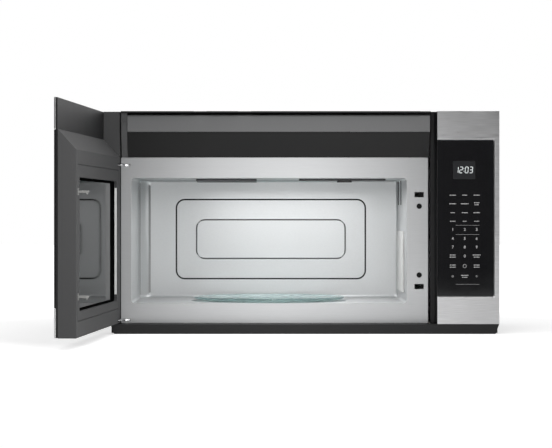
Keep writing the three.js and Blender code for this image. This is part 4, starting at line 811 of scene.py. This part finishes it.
def printed_digit(sign, x, z):
    """A small printed numeral, set upright on the glass."""
    text = bpy.data.curves.new("numeral", "FONT")
    text.body = sign
    text.size = 7.6 * mm
    text.align_x = "CENTER"
    text.align_y = "CENTER"
    text.extrude = film / 2
    text.offset = 0.12 * mm
    carrier = bpy.data.objects.new("numeral", text)
    mesh = bpy.data.meshes.new_from_object(carrier)
    bpy.data.objects.remove(carrier)
    upright = Matrix.Rotation(math.pi / 2, 4, "X")
    mesh.transform(Matrix.Translation((x, face_y - film / 2, z)) @ upright)
    return mesh


for signs, z in digit_rows:
    for sign, x in zip(signs, key_columns):
        legends.append(printed_digit(sign, x, z * mm))
legends.append(printed_digit("0", middle_keys, zero_level * mm))


def hoop(name, x, z, radius, wide, sides):
    """A printed ring, or a diamond if it has four sides."""
    form = bmesh.new()
    inner = radius - wide
    front_y = face_y - film
    loops = []
    for r, y in ((radius, face_y), (radius, front_y), (inner, front_y), (inner, face_y)):
        loops.append([
            form.verts.new((
                x + r * math.cos(i * math.tau / sides), y,
                z + r * math.sin(i * math.tau / sides),
            ))
            for i in range(sides)
        ])
    for near, far in zip(loops, loops[1:] + loops[:1]):
        for i in range(sides):
            j = (i + 1) % sides
            form.faces.new((near[i], near[j], far[j], far[i]))
    bmesh.ops.recalc_face_normals(form, faces=form.faces)
    return finished(form, name)


legends.append(hoop("ring", middle_keys, ring_level * mm,
                    radius=3.6 * mm, wide=0.7 * mm, sides=24))
for x in (left_keys, right_keys):
    legends.append(hoop("diamond", x, diamond_level * mm,
                        radius=2.2 * mm, wide=0.8 * mm, sides=4))
rule_x = (panel_low.x + panel_high.x) / 2 + 4 * mm
rule_long = 46 * mm
rule_wide = 0.35 * mm
for z in rule_levels:
    rule = (rule_x, z * mm, rule_long, rule_wide, 0)
    legends.append(bars("rule", [rule], face_y, film * 0.6))


def joined(name, meshes):
    """Several meshes as one."""
    form = bmesh.new()
    for mesh in meshes:
        form.from_mesh(mesh)
    return finished(form, name)


print_grey = surface("printed grey", (0.5, 0.5, 0.5), 0.5, grain=200, swing=0.06, bump=0.0)
link_piece("key_legends", joined("key_legends", legends), print_grey, "cabinet")


# ---- Circuit boards ----
# Green lacquered boards with their parts soldered on: the touch keys' board behind the panel,
# and the supply lead's interference filter on the wrap's right side.

board_green = surface("circuit board", (0.03, 0.14, 0.07), 0.45, grain=300, swing=0.3,
                      bump=0.3)
keep(board_green, "circuit_board", "control_board", "noise_filter")


# ---- Hinges ----
# Zinc-plated angle brackets behind the front plate. Each arm comes out through a slot in it,
# where it is cut narrower, and ends in a riveted pin that the door turns on.

pin_zinc = surface("bright zinc", (0.85, 0.86, 0.87), 0.22, metallic=0.9, grain=60,
                   swing=0.05, bump=0.02)
cut_wide = 9 * mm
cut_reach = 60 * mm
cut_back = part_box("front_frame")[0].y + 2 * mm
for node in ("upper_hinge", "lower_hinge"):
    _, bracket_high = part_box(node)
    cut = slab(
        "cut", (bracket_high.x - cut_wide, bracket_high.y - cut_reach, 0),
        (bracket_high.x + 1 * mm, cut_back, 1),
    )
    arm = smoothed(combined(eased(node, 0.7 * mm, 3), cut, "DIFFERENCE"))
    link_piece(node + "_shell", arm, pin_zinc, "cabinet", [node])


# ---- Door ----
# A moulded grey inner body closed by a coated steel sheet, which carries the black outer glass
# and the brushed stainless bands above and below it.

door_grey = surface("door moulding", (0.078, 0.078, 0.079), 0.66, shine=0.04, grain=1200,
                    swing=0.1, bump=0.15, depth=0.1 * mm)
dress("door_body", door_grey, "door", 0.6 * mm, 3)
dress("door_backing", black_coat, "door", 0.3 * mm)
door_black = surface("door glass", (0.0045, 0.0045, 0.005), 0.06, grain=20, swing=0.1,
                     rough_swing=0.015, bump=0.0)
dress("door_glass", door_black, "door", 0.6 * mm)
dress("door_top_band", brushed, "door", 0.4 * mm)
dress("door_bottom_band", brushed, "door", 0.4 * mm)


# ---- Door window ----
# A dark pane lies in the inner body's window seat, with a pierced screen behind it and a strip on
# the seat's wall beside the hinges, painted white as a painted reflection of the bright room. A
# black border is printed on the pane's edge beside the hinges; the narrow dark band round the rest
# of its edge is painted shade along the seat's rim.

# The narrow band round the pane's edge is painted shade along the seat's rim; beside the hinges it
# widens into the printed border.
border = 4.5 * mm
hinge_border = 68 * mm
facing = 0.9  # least share of a face's normal that points the way asked for
pane_dark = surface("window pane", (0.03, 0.031, 0.032), 0.045, metallic=1.0, grain=15,
                    swing=0.1, rough_swing=0.01, bump=0.0)
pane_shader = pane_dark.node_tree.nodes["Principled BSDF"]
pane_shader.inputs["Specular Tint"].default_value = (0.4, 0.4, 0.4, 1)
form = bmesh.new()
form.from_mesh(eased("door_pane", 0.4 * mm))
clear = max((f for f in form.faces if f.normal.x > facing), key=lambda f: f.calc_area())
bmesh.ops.inset_individual(form, faces=[clear], thickness=border, use_even_offset=True)
hinge_end = max(v.co.y for v in clear.verts)
from_hinge = Vector((clear.normal.y, -clear.normal.x, 0))
for corner in clear.verts:
    if corner.co.y > hinge_end - border:
        corner.co += from_hinge * (hinge_border - border)
pane_mesh = smoothed(finished(form, "pane"))
link_piece("door_pane_shell", pane_mesh, pane_dark, "door", ["door_pane"])
# One dark matt coat for the border: print beside the hinges, painted shade round the rest of the
# edge.
border_print_and_shade = surface("pane print and painted shade", (0.003, 0.003, 0.003), 0.9, shine=0.0, grain=200,
                     swing=0.1, bump=0.0)
pane_mesh.materials.append(border_print_and_shade)
inward = [f for f in pane_mesh.polygons if f.normal.x > facing]
clear_area = max(f.area for f in inward)
for face in inward:
    if face.area < clear_area:
        face.material_index = 1

keep(zinc, "zinc_steel", "door_screen")
# The strip is painted white as a painted reflection of the bright room in the seat's wall.
strip_painted_reflection = surface("painted reflection white", (0.86, 0.86, 0.85), 0.4, grain=900, swing=0.03,
                      bump=0.1, depth=0.1 * mm)
dress("window_edge_strip", strip_painted_reflection, "door", 0.2 * mm)


# ---- Latch bar and spring ----
# One grey nylon bar with two hooks inside the door's free side. A steel spring presses it down,
# and it lifts as the hooks snap over the latch board.

latch_nylon = surface("latch nylon", (0.26, 0.26, 0.25), 0.5, grain=900, swing=0.05,
                      bump=0.1, depth=0.1 * mm)
dress("latch_bar", latch_nylon, "latch", 0.4 * mm)
keep(zinc, "zinc_steel", "latch_spring")


# ---- Glass tray ----
# Pressed greenish glass with a raised rim, and three lugs under it that the coupler turns.
# It lies on the rollers and lifts off.

tray_low, tray_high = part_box("glass_tray")
tray_radius = (tray_high.x - tray_low.x) / 2
tray_top = tray_high.z - tray_low.z
tray_base = 3.5 * mm
tray_glass = 4 * mm

# Millimetres in from the edge, and up from the base or down from the top.
underside = [(27, 0), (24, 0.3), (18, 1.2), (5, 4.4), (1.5, 5), (0.3, 5.8), (0, 7)]
rim = [(0, 1.8), (0.5, 0.6), (1.8, 0), (3.2, 0.1), (4.4, 0.7)]
upper_side = [(7, 7.9), (18, 5.2), (24, 4.3), (28, 4)]
tray_profile = [(0, tray_base)]
tray_profile += [(tray_radius - x * mm, tray_base + up * mm) for x, up in underside]
tray_profile += [(tray_radius - x * mm, tray_top - down * mm) for x, down in rim]
tray_profile += [(tray_radius - x * mm, tray_base + up * mm) for x, up in upper_side]
tray_profile += [(0, tray_base + tray_glass)]
tray_place = Matrix.Translation((spin_x, spin_y, tray_low.z))
tray_mesh = turned("tray", tray_profile, 128, tray_place)

lug_near, lug_far = 11 * mm, 17 * mm
lug_side = 3 * mm
for n in range(3):
    turn = Matrix.Rotation((2 * n + 1) * math.pi / 3, 4, "Z")
    lug = slab("lug", (lug_near, -lug_side, 0), (lug_far, lug_side, tray_base + overlap))
    lug.transform(tray_place @ turn)
    tray_mesh = combined(tray_mesh, lug, "UNION")
tray_mesh = smoothed(tray_mesh, 40)

clear_glass = bpy.data.materials.new("tray glass")
tree, out = add_nodes(clear_glass)
shader = tree.nodes.new("ShaderNodeBsdfPrincipled")
shader.inputs["Roughness"].default_value = 0.02
shader.inputs["IOR"].default_value = 1.5
shader.inputs["Transmission Weight"].default_value = 0.8  # the rest is pressed glass's haze
tree.links.new(shader.outputs[0], out.inputs["Surface"])
ripple = tree.nodes.new("ShaderNodeTexNoise")
ripple.inputs["Scale"].default_value = 18
tint = tree.nodes.new("ShaderNodeValToRGB")
deep_end, light_end = tint.color_ramp.elements
deep_end.color = (0.62, 0.80, 0.80, 1)
light_end.color = (0.72, 0.88, 0.87, 1)
tree.links.new(ripple.outputs["Fac"], tint.inputs["Fac"])
tree.links.new(tint.outputs["Color"], shader.inputs["Base Color"])
wave = tree.nodes.new("ShaderNodeBump")
wave.inputs["Strength"].default_value = 0.05
wave.inputs["Distance"].default_value = 1 * mm
tree.links.new(ripple.outputs["Fac"], wave.inputs["Height"])
tree.links.new(wave.outputs[0], shader.inputs["Normal"])
link_piece("tray_glass", tray_mesh, clear_glass, "tray", ["glass_tray"])


# ---- Turntable drive ----
# A pale nylon ring with three rollers runs on the cavity's floor. The nylon coupler stands on
# the shaft of a small zinc-plated motor below it.

pale_moulding = surface("pale moulding", (0.56, 0.56, 0.54), 0.45, grain=900, swing=0.05,
                        bump=0.1, depth=0.1 * mm)
dress("turntable_coupler", pale_moulding, "coupler", 0.4 * mm)
keep(zinc, "zinc_steel", "turntable_motor")
dress("roller_ring", pale_moulding, "ring", 0.3 * mm)
for n in (1, 2, 3):
    dress(f"roller_{n}", pale_moulding, f"wheel_{n}", 0.5 * mm)


# ---- Microwave source, cooling fan and power parts ----
# Behind the panel, on the base: zinc-plated guide, magnetron with its fins, fan in its shroud,
# transformer of laminated steel with varnished copper windings, capacitor can and diode.
# The nylon latch board stands behind the slots, with two moulded switches on it.

keep(zinc, "zinc_steel", "waveguide", "magnetron", "fan_shroud", "capacitor")
keep(black_coat, "black_steel", "fan_motor")
keep(pale_moulding, "pale_plastic", "fan_blade", "latch_board", "thermal_cutout")
copper = surface("varnished copper", (0.32, 0.13, 0.06), 0.35, metallic=0.6, grain=500,
                 stretch=(1, 0.1, 3), swing=0.4, bump=0.4)
keep(copper, "copper_wire", "transformer")
keep(black_moulding, "black_plastic", "diode", "door_switch_upper", "door_switch_lower")


# ---- Lamps ----
# A frosted bulb in its holder lights the cavity from behind the front louvre. Two more light
# the cooktop, each behind a lens of frosted glass that lies in the base pan.

frosted = surface("frosted glass", (0.75, 0.75, 0.71), 0.45, grain=260, swing=0.08, bump=0.35)
keep(frosted, "lamp_lens", "cavity_lamp")
for side in ("left", "right"):
    dress(f"cooktop_lamp_{side}", frosted, "cabinet", 0.3 * mm)


# ---- Grease filters ----
# A folded aluminium frame round layers of expanded mesh, each held in its rails by a spring
# edge, to be pushed aside and dropped out for washing.

filter_metal = surface("filter aluminium", (0.5, 0.51, 0.52), 0.42, metallic=0.9, grain=500,
                       swing=0.2, bump=0.2)

# The expanded mesh: two crossed sets of strands, with the openings between them painted dark as
# painted shade.
mesh_metal = surface("expanded mesh", (0.5, 0.51, 0.52), 0.45, metallic=0.9, grain=300,
                     swing=0.2, bump=0.2)
strand_pitch = 3.2 * mm
strand_turn = 32  # degrees to each side
wave_repeat = 0.314  # metres from band to band of a wave texture at scale 1
tree = mesh_metal.node_tree
place = tree.nodes.new("ShaderNodeTexCoord")
strands = []
for turn in (strand_turn, -strand_turn):
    across = tree.nodes.new("ShaderNodeMapping")
    across.inputs["Rotation"].default_value = (0, 0, math.radians(turn))
    tree.links.new(place.outputs["Object"], across.inputs["Vector"])
    bands = tree.nodes.new("ShaderNodeTexWave")
    bands.bands_direction = "Y"
    bands.inputs["Scale"].default_value = wave_repeat / strand_pitch
    tree.links.new(across.outputs[0], bands.inputs["Vector"])
    strands.append(bands.outputs["Fac"])
# Painted shade in the mesh's openings, pale where the strands are.
gap_shade = tree.nodes.new("ShaderNodeValToRGB")
gap_end, strand_end = gap_shade.color_ramp.elements
gap_end.position = 0.45
gap_end.color = (0.02, 0.02, 0.02, 1)
strand_end.position = 0.75
strand_end.color = (0.55, 0.56, 0.57, 1)
tree.links.new(computed(tree, "MAXIMUM", *strands), gap_shade.inputs["Fac"])
tree.links.new(gap_shade.outputs["Color"], tree.nodes["Principled BSDF"].inputs["Base Color"])

filter_rim = 9 * mm
for side in ("left", "right"):
    node = f"grease_filter_{side}"
    screen = dress(node, filter_metal, f"filter_{side}", 0.3 * mm)
    screen.data.materials.append(mesh_metal)
    low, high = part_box(node)
    for face in screen.data.polygons:
        x, y, z = face.center
        inside_x = low.x + filter_rim < x < high.x - filter_rim
        inside_y = low.y + filter_rim < y < high.y - filter_rim
        if inside_x and inside_y and abs(face.normal.z) > facing:
            face.material_index = 1


# ---- Blower ----
# Two drum wheels on one motor shaft, each in a scroll of zinc-plated sheet, on top of the
# cavity. They push air out through the grille or up a duct.

keep(zinc, "zinc_steel", "blower_housing", "blower_wheels")
keep(black_coat, "black_steel", "blower_motor")
